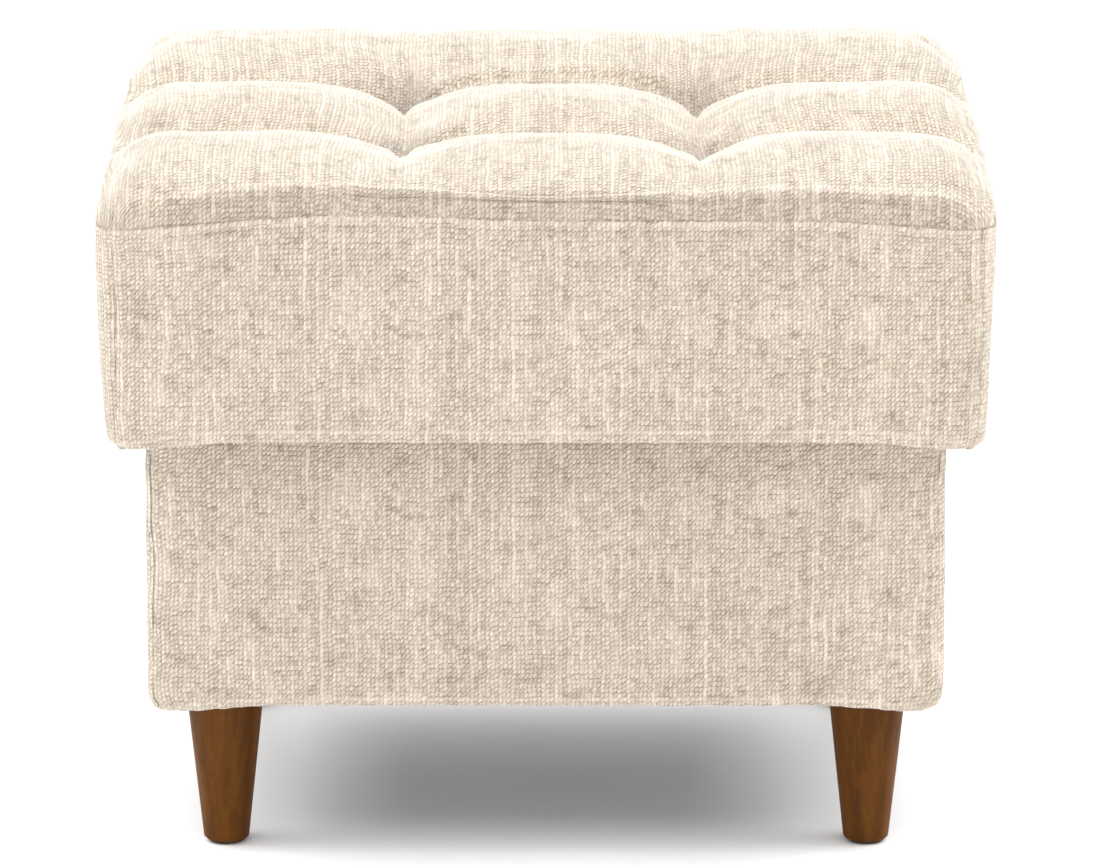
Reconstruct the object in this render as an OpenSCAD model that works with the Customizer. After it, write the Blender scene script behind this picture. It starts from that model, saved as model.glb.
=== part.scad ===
// Upholstered pouf: a tufted lift-off seat over a storage box on four turned legs.
// Millimetres. The origin is on the floor under the middle, +X to the right, +Y to the back, +Z up.

/* [Seat] */
// Width of the seat at its seam, side to side
seat_w = 560; // [480:5:680]
// Depth of the seat at its seam, front to back
seat_d = 467; // [400:1:560]
// Height of the seat's upright border, from its underside to the seam
border_h = 145; // [100:1:200]
// Rise of the tufted top from the seam to the crest of a puff
top_rise = 36; // [32:1:50]
// Width over which the top rolls down to the seam
edge_roll = 45; // [36:1:60]
// Distance from the seam in to the crease that runs round the top
crease_inset = 8.5; // [7:0.5:12]
// Depth of that crease
crease_depth = 3.4; // [2:0.2:5]
// Distance from a corner over which the crease curves out to meet the seam
crease_fade = 60; // [40:5:90]
// Radius of the seat's upright corners
seat_corner_r = 20; // [14:1:30]
// How far each border draws in towards its bottom edge
border_lean = 4.5; // [0:0.5:7]
// How far the seat's bottom corners hang below the middle of each edge
seat_corner_droop = 8; // [0:1:10]
// Thickness of the plywood seat board
board_t = 15; // [12:1:21]

/* [Tufting] */
// Distance between the left and the right tufts
tuft_gap_x = 196; // [150:2:240]
// Distance between the front and the rear tufts
tuft_gap_y = 155; // [120:1:200]
// Depth of the four tufts below the crest
tuft_depth = 34; // [20:1:36]
// Depth of the channels that run from side to side
cross_channel_depth = 24; // [8:1:28]
// Depth of the channels that run from front to back, away from the tufts
long_channel_depth = 0.5; // [0.5:0.5:12]
// Reach of a tuft's pull to either side
tuft_reach = 50; // [30:5:70]
// Reach of a tuft's pull towards the front
tuft_reach_front = 90; // [50:5:110]
// Reach of the rear tufts' pull towards the back
tuft_reach_back = 60; // [40:5:80]
// Depth of the soft quilt pad below the seam
pad_skirt = 8; // [4:1:14]

/* [Base] */
// Overhang of the seat past the base at each side
side_overhang = 28; // [20:1:45]
// Overhang of the seat past the base at the front and the back
end_overhang = 29.5; // [20:0.5:45]
// Height of the base box, from its underside to its rim
base_h = 177.5; // [130:0.5:240]
// Radius of the base's upright corners
base_corner_r = 12; // [9:1:18]
// How far the base's bottom corners hang below the middle of each edge
base_corner_droop = 5; // [0:1:6]
// Length of the droop beside each bottom corner
droop_reach = 80; // [50:5:110]
// Gap between the resting seat and the base's rim
rest_gap = 0.3; // [0.2:0.1:0.6]
// Thickness of the wooden side panels
panel_t = 15; // [12:1:18]
// Thickness of the plywood under the storage space
floor_t = 6; // [4:1:10]
// Height of the corner blocks that the legs screw into
block_h = 28; // [22:1:36]
// Width of a corner block past the axis of its leg
block_margin = 28; // [20:1:34]
// Width of the cleats that carry the plywood between the blocks
cleat_w = 18; // [12:1:24]

/* [Battens under the seat] */
// Height of the battens that drop inside the rim
batten_h = 20; // [12:1:26]
// Width of a batten
batten_w = 18; // [14:1:24]
// Gap between a batten and the lining of the storage space
batten_gap = 3; // [1.5:0.5:6]
// Distance from the corners of the storage space to the ends of the battens
batten_end_gap = 45; // [34:1:80]

/* [Legs] */
// Height of a leg with its glide
leg_h = 101.5; // [70:0.5:150]
// Diameter of a leg at its top
leg_top_d = 50; // [44:1:56]
// Diameter of a leg at its foot
leg_foot_d = 29; // [27:1:38]
// Distance from the faces of the base in to the axis of a leg
leg_inset = 47; // [44:1:60]
// Bevel round the foot of a leg
foot_bevel = 2; // [1:0.5:2.5]
// Thickness of the felt glide under a foot
glide_t = 1.5; // [1:0.5:4]
// Diameter of a glide
glide_d = 21; // [14:1:22]

/* [Cloth and padding] */
// Thickness of the covering cloth
cloth_t = 1.5; // [1:0.1:2]
// Thickness of the wadding round the base
wadding_t = 6; // [4:0.5:9]
// Thickness of the foam's wadding at the seam, with the cloth
seat_wadding_t = 10; // [9.5:0.5:14]
// Thickness of the lining of the storage space
lining_t = 0.8; // [0.4:0.1:1.2]
// Thickness of the cloths under the seat and under the base
under_t = 0.6; // [0.4:0.1:1]

/* [Fasteners] */
// Diameter of the bolts in the legs
bolt_d = 8; // [6:1:10]
// Length of a bolt inside its leg
bolt_in_leg = 30; // [20:1:45]
// Diameter of a tee nut's flange
nut_flange_d = 19; // [17:1:24]
// Diameter of a tee nut's barrel
nut_barrel_d = 11; // [11:0.5:14]
// Height of a tee nut's barrel
nut_barrel_h = 9; // [7:1:14]
// Diameter of the wood screws
screw_d = 4; // [3.5:0.5:5]
// Diameter of a wood screw's head
screw_head_d = 8; // [7:0.5:9]
// Length of a panel screw
panel_screw_l = 40; // [34:1:50]
// Distance of the outer panel screws from the panels' edges
panel_screw_edge = 28; // [20:1:40]
// Length of a batten screw
batten_screw_l = 31; // [29:1:33]
// Distance of the batten screws from the battens' ends
batten_screw_edge = 40; // [20:1:60]
// Width of a staple
staple_w = 11; // [8:1:14]
// Thickness of a staple's wire
staple_t = 0.7; // [0.5:0.1:0.9]
// Diameter of the tufting twine
twine_d = 2; // [1.5:0.5:3]
// Diameter of the washers that the twine is tied over
washer_d = 20; // [16:1:26]
// Thickness of those washers
washer_t = 1.5; // [1:0.5:2]

/* [Hidden] */
$fn = 48;

cloth_colour = "#e3d8c6";
walnut = "#6b4123";
pine = "#d9b98a";
plywood = "#cda873";
foam_colour = "#f1e6bd";
wadding_colour = "#f7f6f2";
thin_cloth_colour = "#4a4846";
lining_colour = "#d8d2c6";
steel = "#b9bdc1";
felt = "#57534e";

// Clearances
layer_gap = 0.1;
seam_gap = 0.2;
screw_gap = 0.05;
nut_gap = 0.1;
pad_gap = 1;

// Half sizes of the seat and the base
seat_a = seat_w / 2;
seat_b = seat_d / 2;
base_a = seat_a - side_overhang;
base_b = seat_b - end_overhang;

// Heights, from the floor up
z_base = leg_h;
z_dust_top = z_base + under_t;
z_turn = z_dust_top + layer_gap;
z_panel = z_turn + cloth_t + layer_gap;
z_rim = z_base + base_h;
z_panel_top = z_rim - cloth_t - layer_gap;
z_block = z_dust_top + layer_gap;
z_floor = z_block + block_h;
z_floor_top = z_floor + floor_t;
z_under = z_rim + rest_gap;
z_return = z_under + under_t + layer_gap;
z_board = z_return + cloth_t + layer_gap;
z_foam = z_board + board_t;
z_seam = z_under + border_h;
z_pad = z_seam - pad_skirt;

// Insets from the base's outer faces
panel_out = cloth_t + layer_gap + wadding_t + layer_gap;
panel_in = panel_out + panel_t;
dust_inset = panel_out + 5;
inner_a = base_a - panel_in;
inner_b = base_b - panel_in;

// Places of the tufts, the legs and the battens
tuft_x = tuft_gap_x / 2;
tuft_y = tuft_gap_y / 2;
leg_x = base_a - leg_inset;
leg_y = base_b - leg_inset;
batten_out = layer_gap + lining_t + batten_gap;
batten_top = z_under;
under_inset = 16;
staple_inset = 21;
staple_leg = 5;
min_corner_r = 0.5;
lip_w = 1.8;
arc_steps = 3;
side_steps = 10;

// Points of a rounded rectangle of half sizes a and b, drawn in by inset
function corner_r(r, inset) = max(r - inset, min_corner_r);
function ring(a, b, r, inset) = [
    for (c = [0:3], k = [0:arc_steps])
        let (q = corner_r(r, inset))
        let (sx = c == 0 || c == 3 ? 1 : -1)
        let (sy = c < 2 ? 1 : -1)
        let (turn = 90 * c + 90 * k / arc_steps)
        [sx * (a - inset - q) + q * cos(turn), sy * (b - inset - q) + q * sin(turn)]
];

// Faces of a grid of points, two triangles to a cell, turned over where flip is set
function turned(face, flip) = flip ? [face[2], face[1], face[0]] : face;
function grid_faces(rows, cols, first, flip) = [
    for (j = [0:rows - 2], i = [0:cols - 2], half = [0, 1])
        let (p = first + j * cols + i)
        turned(half == 0 ? [p, p + cols + 1, p + cols] : [p, p + 1, p + cols + 1], flip)
];

// The points round the edge of a grid, in order
function edge_loop(rows, cols) = concat(
    [for (i = [0:cols - 1]) i],
    [for (j = [1:rows - 1]) j * cols + cols - 1],
    [for (i = [cols - 2:-1:0]) (rows - 1) * cols + i],
    [for (j = [rows - 2:-1:1]) j * cols]
);

// Faces of a strip between two loops of the same length
function strip_faces(upper, lower) = [
    for (i = [0:len(upper) - 1], half = [0, 1])
        let (n = (i + 1) % len(upper))
        half == 0 ? [upper[i], lower[n], upper[n]] : [upper[i], lower[i], lower[n]]
];

// A cloth: two grids of the same size, its outer and its inner face, closed round the edge
module cloth_shell(outer, inner) {
    rows = len(outer);
    cols = len(outer[0]);
    count = rows * cols;
    loop = edge_loop(rows, cols);
    polyhedron(
        points = concat([for (row = outer) each row], [for (row = inner) each row]),
        faces = concat(
            grid_faces(rows, cols, 0, false),
            grid_faces(rows, cols, count, true),
            strip_faces(loop, [for (p = loop) p + count])
        )
    );
}

// How far the bottom edge hangs at a distance from its nearest corner, as a share of the droop
function smooth(t) = t * t * (3 - 2 * t);
function droop_share(from_corner) = smooth(max(0, 1 - from_corner / droop_reach));

// Stations along one side that faces -Y: a share of the straight, and an angle round a corner
function stations(with_corners) = concat(
    with_corners ? [for (k = [arc_steps:-1:1]) [-1, 90 * k / arc_steps]] : [],
    [for (k = [-side_steps / 2:side_steps / 2]) [sin(180 * k / side_steps), 0]],
    with_corners ? [for (k = [1:arc_steps]) [1, 90 * k / arc_steps]] : []
);

// One point of a border. A profile point is [inset, height, share of the droop, thickness in, thickness up]
function border_point(a, b, r, s, p, droop, depth) =
    let (inset = p[0] + depth * p[3])
    let (q = corner_r(r, inset))
    let (half = a - inset - q - (s[1] == 0 ? seam_gap / 2 * abs(s[0]) : 0))
    let (side = s[0] < 0 ? -1 : 1)
    let (x = s[0] * half + side * q * sin(s[1]))
    let (y = -(b - inset - q) - q * cos(s[1]))
    let (from_corner = max(0, a - abs(x)) + max(0, b - inset + y))
    [x, y, p[1] + depth * p[4] - droop * p[2] * droop_share(from_corner)];

module border_panel(a, b, r, profile, droop, with_corners) {
    along = stations(with_corners);
    cloth_shell(
        [for (p = profile) [for (s = along) border_point(a, b, r, s, p, droop, 0)]],
        [for (p = profile) [for (s = along) border_point(a, b, r, s, p, droop, cloth_t)]]
    );
}

// The seat's border, from its seam down and under the board
lean_steps = [0, 0.3, 0.6, 0.88];
edge_r = 3;
return_flat = 14;
return_end = 34;
function lean_at(t) = border_lean * pow(t, 1.5);
border_drop = z_seam - z_return;
seat_profile = concat(
    [for (t = lean_steps) [lean_at(t), z_seam - layer_gap - t * border_drop, 0, 1, 0]],
    [
        [border_lean, z_return + edge_r, 1, 1, 0],
        [border_lean + edge_r * 0.3, z_return + edge_r * 0.3, 1, 0.7, 0.7],
        [border_lean + edge_r, z_return, 1, 0, 1],
        [return_flat, z_return, 0, 0, 1],
        [return_end, z_return, 0, 0, 1]
    ]
);

// The base's cover, from the inside of the rim, down the face and under the panels
droop_start = 25;
cover_end = panel_in - 2 * layer_gap;
base_profile = [
    [cover_end, z_rim, 0, 0, -1],
    [edge_r, z_rim, 0, 0, -1],
    [edge_r * 0.3, z_rim - edge_r * 0.3, 0, 0.7, -0.7],
    [0, z_rim - edge_r, 0, 1, 0],
    [0, z_turn + droop_start, 0, 1, 0],
    [0, z_turn + edge_r, 1, 1, 0],
    [edge_r * 0.3, z_turn + edge_r * 0.3, 1, 0.7, 0.7],
    [edge_r, z_turn, 1, 0, 1],
    [dust_inset - 1, z_turn, 0, 0, 1],
    [cover_end, z_turn, 0, 0, 1]
];

module seat_border_end() {
    color(cloth_colour) border_panel(seat_a, seat_b, seat_corner_r, seat_profile, seat_corner_droop, false);
}
module seat_border_side() {
    color(cloth_colour) border_panel(seat_b, seat_a, seat_corner_r, seat_profile, seat_corner_droop, true);
}
module base_cover_end() {
    color(cloth_colour) border_panel(base_a, base_b, base_corner_r, base_profile, base_corner_droop, false);
}
module base_cover_side() {
    color(cloth_colour) border_panel(base_b, base_a, base_corner_r, base_profile, base_corner_droop, true);
}

// Height of the tufted top. Each puff is a dome that falls to the channels round it, and the tufts pull deeper
puff_x = min(tuft_x, (seat_a - tuft_x) / 2);
puff_y = min(tuft_y, (seat_b - tuft_y) / 2);
tuft_pull = tuft_depth / pow(2, 1 / 3);
function bell(distance, reach) = exp(-pow(distance / reach, 2));
function dome_fall(distance, reach) = pow(max(0, 1 - distance / reach), 2);
function pull(depth, distance, reach) = depth + (tuft_pull - depth) * bell(distance, reach);
function cross_channel(x, y) =
    pull(cross_channel_depth, abs(abs(x) - tuft_x), tuft_reach) * dome_fall(abs(abs(y) - tuft_y), puff_y);
function long_channel(x, y) =
    pull(long_channel_depth, abs(abs(y) - tuft_y), y > tuft_y ? tuft_reach_back : tuft_reach_front)
    * dome_fall(abs(abs(x) - tuft_x), puff_x);
function roll(from_edge) = sqrt(1 - pow(1 - min(1, max(0, from_edge) / edge_roll), 2));

// The puffs end in a lip. Between the lip and the seam the cloth lies in a shallow bowl, the crease
function soft_step(t) = smooth(max(0, min(1, t)));
function crease(across, run) =
    let (line = crease_inset * soft_step(run / crease_fade))
    let (bowl = soft_step(across / max(1, 0.8 * line)) * (1 - soft_step((across - line + lip_w / 4) / lip_w)))
    crease_depth * bowl * soft_step(2 * line / crease_inset);
function top_z(x, y) =
    let (edge_x = seat_a - abs(x))
    let (edge_y = seat_b - abs(y))
    let (hollow = pow(pow(cross_channel(x, y), 3) + pow(long_channel(x, y), 3), 1 / 3))
    let (pinch = max(crease(edge_x, edge_y), crease(edge_y, edge_x)))
    z_seam + (top_rise - hollow) * roll(edge_x) * roll(edge_y) - pinch;

// Grid lines of the top across one direction: close together at the rolled edge, and one on each channel
rim_shares = [0, 0.22, 0.55, 1, 1.6];
edge_cells = 5;
mid_cells = 3;
function half_lines(half, tuft) =
    let (start = half - 1.6 * crease_inset)
    concat(
        [for (k = rim_shares) half - k * crease_inset],
        [for (i = [1:edge_cells]) start + (tuft - start) * i / edge_cells],
        [for (i = [1:mid_cells]) tuft * (1 - i / mid_cells)]
    );
function mirrored(lines) = concat([for (v = lines) -v], [for (i = [len(lines) - 2:-1:0]) lines[i]]);

// A point of the square grid moved to the rounded rectangle
function rounded(x, y, a, b, r) =
    let (dx = max(0, abs(x) - (a - r)))
    let (dy = max(0, abs(y) - (b - r)))
    [
        sign(x) * (abs(x) - dx + dx * sqrt(1 - dy * dy / (2 * r * r))),
        sign(y) * (abs(y) - dy + dy * sqrt(1 - dx * dx / (2 * r * r)))
    ];

// The tufted surface, or the same surface a little inside it
function top_point(x, y, depth) =
    let (p = rounded(
        x * (seat_a - depth) / seat_a,
        y * (seat_b - depth) / seat_b,
        seat_a - depth,
        seat_b - depth,
        seat_corner_r - depth
    ))
    let (covered = min(1, (seat_a - abs(x)) / (crease_inset / 2), (seat_b - abs(y)) / (crease_inset / 2)))
    [p[0], p[1], top_z(x, y) - depth * covered + layer_gap];
function top_grid(depth) = [
    for (y = mirrored(half_lines(seat_b, tuft_y)))
        [for (x = mirrored(half_lines(seat_a, tuft_x))) top_point(x, y, depth)]
];

module seat_top_panel() {
    color(cloth_colour) cloth_shell_up(top_grid(0), top_grid(cloth_t));
}
module cloth_shell_up(outer, inner) {
    cloth_shell(
        [for (j = [len(outer) - 1:-1:0]) outer[j]],
        [for (j = [len(inner) - 1:-1:0]) inner[j]]
    );
}

// The soft pad under the tufted cloth, flat below
module quilt_pad() {
    grid = top_grid(cloth_t + pad_gap);
    rows = len(grid);
    cols = len(grid[0]);
    points = [for (j = [rows - 1:-1:0]) each grid[j]];
    loop = edge_loop(rows, cols);
    count = rows * cols;
    middle = count + len(loop);
    lower = [for (k = [0:len(loop) - 1]) count + k];
    color(foam_colour) polyhedron(
        points = concat(points, [for (p = loop) [points[p][0], points[p][1], z_pad]], [[0, 0, z_pad]]),
        faces = concat(
            grid_faces(rows, cols, 0, false),
            strip_faces(loop, lower),
            [for (k = [0:len(loop) - 1]) [lower[k], middle, lower[(k + 1) % len(loop)]]]
        )
    );
}

// A flat board or block with the rounded outline of the seat
module slab(a, b, r, inset, from_z, to_z) {
    translate([0, 0, from_z]) linear_extrude(to_z - from_z) polygon(ring(a, b, r, inset));
}

module seat_foam() {
    color(foam_colour) slab(seat_a, seat_b, seat_corner_r, seat_wadding_t, z_foam, z_pad - layer_gap);
}

// The wadding round the foam: its outer face follows the border, its inner face the foam
module seat_wadding() {
    levels = [0.93, 0.6, 0.3, 0.06];
    inner_inset = seat_wadding_t - layer_gap;
    outer_rings = [
        for (t = levels)
            [for (p = ring(seat_a, seat_b, seat_corner_r, lean_at(t) + cloth_t + layer_gap * 2))
                [p[0], p[1], z_seam - t * border_drop]]
    ];
    inner_rings = [
        for (t = [levels[3], levels[0]])
            [for (p = ring(seat_a, seat_b, seat_corner_r, inner_inset)) [p[0], p[1], z_seam - t * border_drop]]
    ];
    rings = concat(outer_rings, inner_rings);
    size = len(rings[0]);
    color(wadding_colour) polyhedron(
        points = [for (loop = rings) each loop],
        faces = [
            for (k = [0:len(rings) - 1])
                each strip_faces(
                    [for (i = [0:size - 1]) k * size + i],
                    [for (i = [0:size - 1]) ((k + 1) % len(rings)) * size + i]
                )
        ]
    );
}

module at_tufts() {
    for (sx = [-1, 1], sy = [-1, 1]) translate([sx * tuft_x, sy * tuft_y, 0]) children();
}

// The recess under the board holds a washer and the twine's knot
knot_d = 2 * twine_d;
recess_h = washer_t + knot_d + 0.5;
module seat_board() {
    color(plywood) difference() {
        slab(seat_a, seat_b, seat_corner_r, seat_wadding_t, z_board, z_foam);
        at_tufts() {
            translate([0, 0, z_board - 1]) cylinder(d = washer_d + 1, h = recess_h + 1);
            translate([0, 0, z_board]) cylinder(d = twine_d + 1, h = board_t + 1);
        }
        batten_screw_places() screw(batten_screw_l, screw_gap);
    }
}
module tuft_washers() {
    color(steel) at_tufts() translate([0, 0, z_board + recess_h - washer_t]) difference() {
        cylinder(d = washer_d, h = washer_t);
        translate([0, 0, -1]) cylinder(d = twine_d + 1, h = washer_t + 2);
    }
}
module tuft_twines() {
    knot_z = z_board + recess_h - washer_t - knot_d / 2;
    twine_top = top_z(tuft_x, tuft_y) - cloth_t - pad_gap;
    color(wadding_colour) at_tufts() {
        translate([0, 0, knot_z]) cylinder(d = twine_d, h = twine_top - knot_z);
        translate([0, 0, knot_z]) sphere(d = knot_d);
    }
}

module underside_cloth() {
    color(thin_cloth_colour) difference() {
        slab(seat_a, seat_b, seat_corner_r, under_inset, z_under, z_under + under_t);
        batten_screw_places() screw(batten_screw_l, screw_gap);
    }
}

// A wood screw from its head at the origin up along +Z
module screw(length, gap) {
    head_h = (screw_head_d - screw_d) / 2;
    translate([0, 0, -gap]) {
        cylinder(d1 = screw_head_d + 2 * gap, d2 = screw_d + 2 * gap, h = head_h + gap);
        cylinder(d = screw_d + 2 * gap, h = length + 2 * gap);
    }
}

// Battens. Each lies along its own side of the storage space
front_batten_l = 2 * (inner_a - batten_end_gap);
side_batten_l = 2 * (inner_b - batten_end_gap);
batten_y = inner_b - batten_out - batten_w / 2;
batten_x = inner_a - batten_out - batten_w / 2;
module batten_blank(length, along_y) {
    size = along_y ? [batten_w, length, batten_h] : [length, batten_w, batten_h];
    translate([0, 0, batten_top - batten_h / 2]) cube(size, center = true);
}
module batten_screw_places() {
    for (sx = [-1, 1], sy = [-1, 1]) {
        translate([sx * (front_batten_l / 2 - batten_screw_edge), sy * batten_y, batten_top - batten_h])
            children();
        translate([sx * batten_x, sy * (side_batten_l / 2 - batten_screw_edge), batten_top - batten_h])
            children();
    }
}
module batten(x, y, length, along_y) {
    color(pine) difference() {
        translate([x, y, 0]) batten_blank(length, along_y);
        batten_screw_places() screw(batten_screw_l, screw_gap);
    }
}
module front_batten() { batten(0, -batten_y, front_batten_l, false); }
module back_batten() { batten(0, batten_y, front_batten_l, false); }
module left_batten() { batten(-batten_x, 0, side_batten_l, true); }
module right_batten() { batten(batten_x, 0, side_batten_l, true); }
module batten_screws() { color(steel) batten_screw_places() screw(batten_screw_l, 0); }

// A staple with its crown below the origin and its legs up into the wood
module staple() {
    color(steel) {
        translate([-staple_w / 2, -staple_t / 2, -staple_t]) cube([staple_w, staple_t, staple_t]);
        for (s = [-1, 1])
            translate([s * (staple_w - staple_t) / 2 - staple_t / 2, -staple_t / 2, -staple_t])
                cube([staple_t, staple_t, staple_t + staple_leg + cloth_t + under_t]);
    }
}
module staple_rows(a, b, inset, clear, count_x, count_y) {
    for (s = [-1, 1]) {
        for (k = [0:count_x - 1])
            translate([(a - clear) * (2 * k / (count_x - 1) - 1), s * (b - inset), 0]) staple();
        for (k = [0:count_y - 1])
            translate([s * (a - inset), (b - clear) * (2 * k / (count_y - 1) - 1), 0]) rotate(90) staple();
    }
}
module seat_staples() {
    translate([0, 0, z_under]) staple_rows(seat_a, seat_b, staple_inset, droop_reach + 15, 5, 4);
}
module base_staples() {
    translate([0, 0, z_base]) staple_rows(base_a, base_b, dust_inset + 4, droop_reach + 15, 4, 3);
}

// The base's wooden box. The front and back panels run over the ends of the side panels
module base_end_panel(s) {
    y = s * (base_b - panel_out - panel_t / 2);
    color(pine) difference() {
        translate([0, y, (z_panel + z_panel_top) / 2])
            cube([2 * (base_a - panel_out), panel_t, z_panel_top - z_panel], center = true);
        panel_screw_places() screw(panel_screw_l, screw_gap);
    }
}
module base_side_panel(s) {
    x = s * (base_a - panel_out - panel_t / 2);
    color(pine) difference() {
        translate([x, 0, (z_panel + z_panel_top) / 2])
            cube([panel_t, 2 * inner_b, z_panel_top - z_panel], center = true);
        panel_screw_places() screw(panel_screw_l, screw_gap);
    }
}
module panel_screw_places() {
    low = z_panel + panel_screw_edge;
    high = z_panel_top - panel_screw_edge;
    for (sx = [-1, 1], sy = [-1, 1], z = [low, (low + high) / 2, high])
        translate([sx * (base_a - panel_out - panel_t / 2), sy * (base_b - panel_out), z])
            rotate([sy * 90, 0, 0])
                children();
}
module panel_screws() { color(steel) panel_screw_places() screw(panel_screw_l, 0); }
module base_front_panel() { base_end_panel(-1); }
module base_back_panel() { base_end_panel(1); }
module base_left_panel() { base_side_panel(-1); }
module base_right_panel() { base_side_panel(1); }

module base_wadding() {
    ease = edge_r / 2;
    height = z_panel_top - z_panel - 2 * ease;
    color(wadding_colour) translate([0, 0, z_panel + ease]) linear_extrude(height) difference() {
        polygon(ring(base_a, base_b, base_corner_r, cloth_t + layer_gap));
        square([2 * (base_a - panel_out + layer_gap), 2 * (base_b - panel_out + layer_gap)], center = true);
    }
}

// The floor of the storage space lies on the corner blocks and on two cleats
module floor_board() {
    color(plywood) translate([0, 0, z_floor + floor_t / 2])
        cube([2 * (inner_a - layer_gap), 2 * (inner_b - layer_gap), floor_t], center = true);
}
block_a = leg_inset - panel_in + block_margin;
module cleat(s) {
    length = 2 * (inner_a - block_a - layer_gap);
    color(pine) translate([0, s * (inner_b - cleat_w / 2), z_block + block_h / 2])
        cube([length, cleat_w, block_h], center = true);
}
module front_cleat() { cleat(-1); }
module back_cleat() { cleat(1); }

nut_recess = 1.6;
nut_flange_t = 1.5;
module corner_block(sx, sy) {
    color(pine) difference() {
        translate([sx * (inner_a - block_a / 2), sy * (inner_b - block_a / 2), z_block + block_h / 2])
            cube([block_a, block_a, block_h], center = true);
        translate([sx * leg_x, sy * leg_y, z_block - 1]) {
            cylinder(d = bolt_d + 1, h = block_h + 2);
            translate([0, 0, 1 + block_h - nut_recess]) cylinder(d = nut_flange_d + 1, h = nut_recess + 1);
            translate([0, 0, 1 + block_h - nut_recess - nut_barrel_h])
                cylinder(d = nut_barrel_d + 2 * screw_gap, h = nut_barrel_h + 1);
        }
    }
}
module front_left_block() { corner_block(-1, -1); }
module front_right_block() { corner_block(1, -1); }
module rear_left_block() { corner_block(-1, 1); }
module rear_right_block() { corner_block(1, 1); }

module at_legs() {
    for (sx = [-1, 1], sy = [-1, 1]) translate([sx * leg_x, sy * leg_y, 0]) children();
}
module tee_nuts() {
    color(steel) at_legs() translate([0, 0, z_floor - nut_recess]) difference() {
        union() {
            cylinder(d = nut_flange_d, h = nut_flange_t);
            translate([0, 0, screw_gap - nut_barrel_h]) cylinder(d = nut_barrel_d, h = nut_barrel_h);
        }
        translate([0, 0, -nut_barrel_h - 1])
            cylinder(d = bolt_d + 2 * nut_gap, h = nut_barrel_h + nut_flange_t + 2);
    }
}
module hanger_bolts() {
    color(steel) at_legs() translate([0, 0, z_base - bolt_in_leg])
        cylinder(d = bolt_d, h = bolt_in_leg + z_floor - z_base - layer_gap);
}

// Four flat walls and a floor of thin cloth
module compartment_lining() {
    a = inner_a - layer_gap;
    b = inner_b - layer_gap;
    color(lining_colour) difference() {
        translate([-a, -b, z_floor_top]) cube([2 * a, 2 * b, z_panel_top - z_floor_top]);
        translate([lining_t - a, lining_t - b, z_floor_top + lining_t])
            cube([2 * (a - lining_t), 2 * (b - lining_t), z_rim - z_floor_top]);
    }
}

module dust_cover() {
    color(thin_cloth_colour) difference() {
        slab(base_a, base_b, base_corner_r, dust_inset, z_base, z_dust_top);
        at_legs() translate([0, 0, z_base - 1]) cylinder(d = bolt_d + 1, h = under_t + 2);
    }
}

module base_cover_front() { base_cover_end(); }
module base_cover_back() { rotate(180) base_cover_end(); }
module base_cover_left() { rotate(-90) base_cover_side(); }
module base_cover_right() { rotate(90) base_cover_side(); }
module seat_border_front() { seat_border_end(); }
module seat_border_back() { rotate(180) seat_border_end(); }
module seat_border_left() { rotate(-90) seat_border_side(); }
module seat_border_right() { rotate(90) seat_border_side(); }

// A leg tapers to its foot, which has a bevel and stands on its glide
module leg(sx, sy) {
    foot_r = leg_foot_d / 2;
    top = z_base - layer_gap;
    color(walnut) translate([sx * leg_x, sy * leg_y, 0]) difference() {
        rotate_extrude($fn = 64) polygon([
            [0, glide_t],
            [foot_r - foot_bevel, glide_t],
            [foot_r, glide_t + foot_bevel],
            [leg_top_d / 2, top],
            [0, top]
        ]);
        translate([0, 0, z_base - bolt_in_leg - 1]) cylinder(d = bolt_d + 2 * screw_gap, h = bolt_in_leg + 2);
    }
}
module front_left_leg() { leg(-1, -1); }
module front_right_leg() { leg(1, -1); }
module rear_left_leg() { leg(-1, 1); }
module rear_right_leg() { leg(1, 1); }
module foot_glides() { color(felt) at_legs() cylinder(d = glide_d, h = glide_t); }

seat_top_panel();
quilt_pad();
seat_foam();
seat_wadding();
seat_board();
seat_border_front();
seat_border_back();
seat_border_left();
seat_border_right();
tuft_twines();
tuft_washers();
underside_cloth();
seat_staples();
front_batten();
back_batten();
left_batten();
right_batten();
batten_screws();
base_front_panel();
base_back_panel();
base_left_panel();
base_right_panel();
panel_screws();
floor_board();
front_cleat();
back_cleat();
front_left_block();
front_right_block();
rear_left_block();
rear_right_block();
tee_nuts();
hanger_bolts();
base_wadding();
base_cover_front();
base_cover_back();
base_cover_left();
base_cover_right();
compartment_lining();
dust_cover();
base_staples();
front_left_leg();
front_right_leg();
rear_left_leg();
rear_right_leg();
foot_glides();
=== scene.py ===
# %% [markdown]
# # A tufted pouf in cream chenille
# The solid model is packed already. Every solid stays where it is, and this script gives the pouf its
# looks. Rigid parts, such as the wooden panels, the legs and the screws, keep their solids and get a
# finish. Soft parts get a fuller shape, worked out here as surfaces, and hide the plain solids that
# they stand for.

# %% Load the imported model
import math

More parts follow.
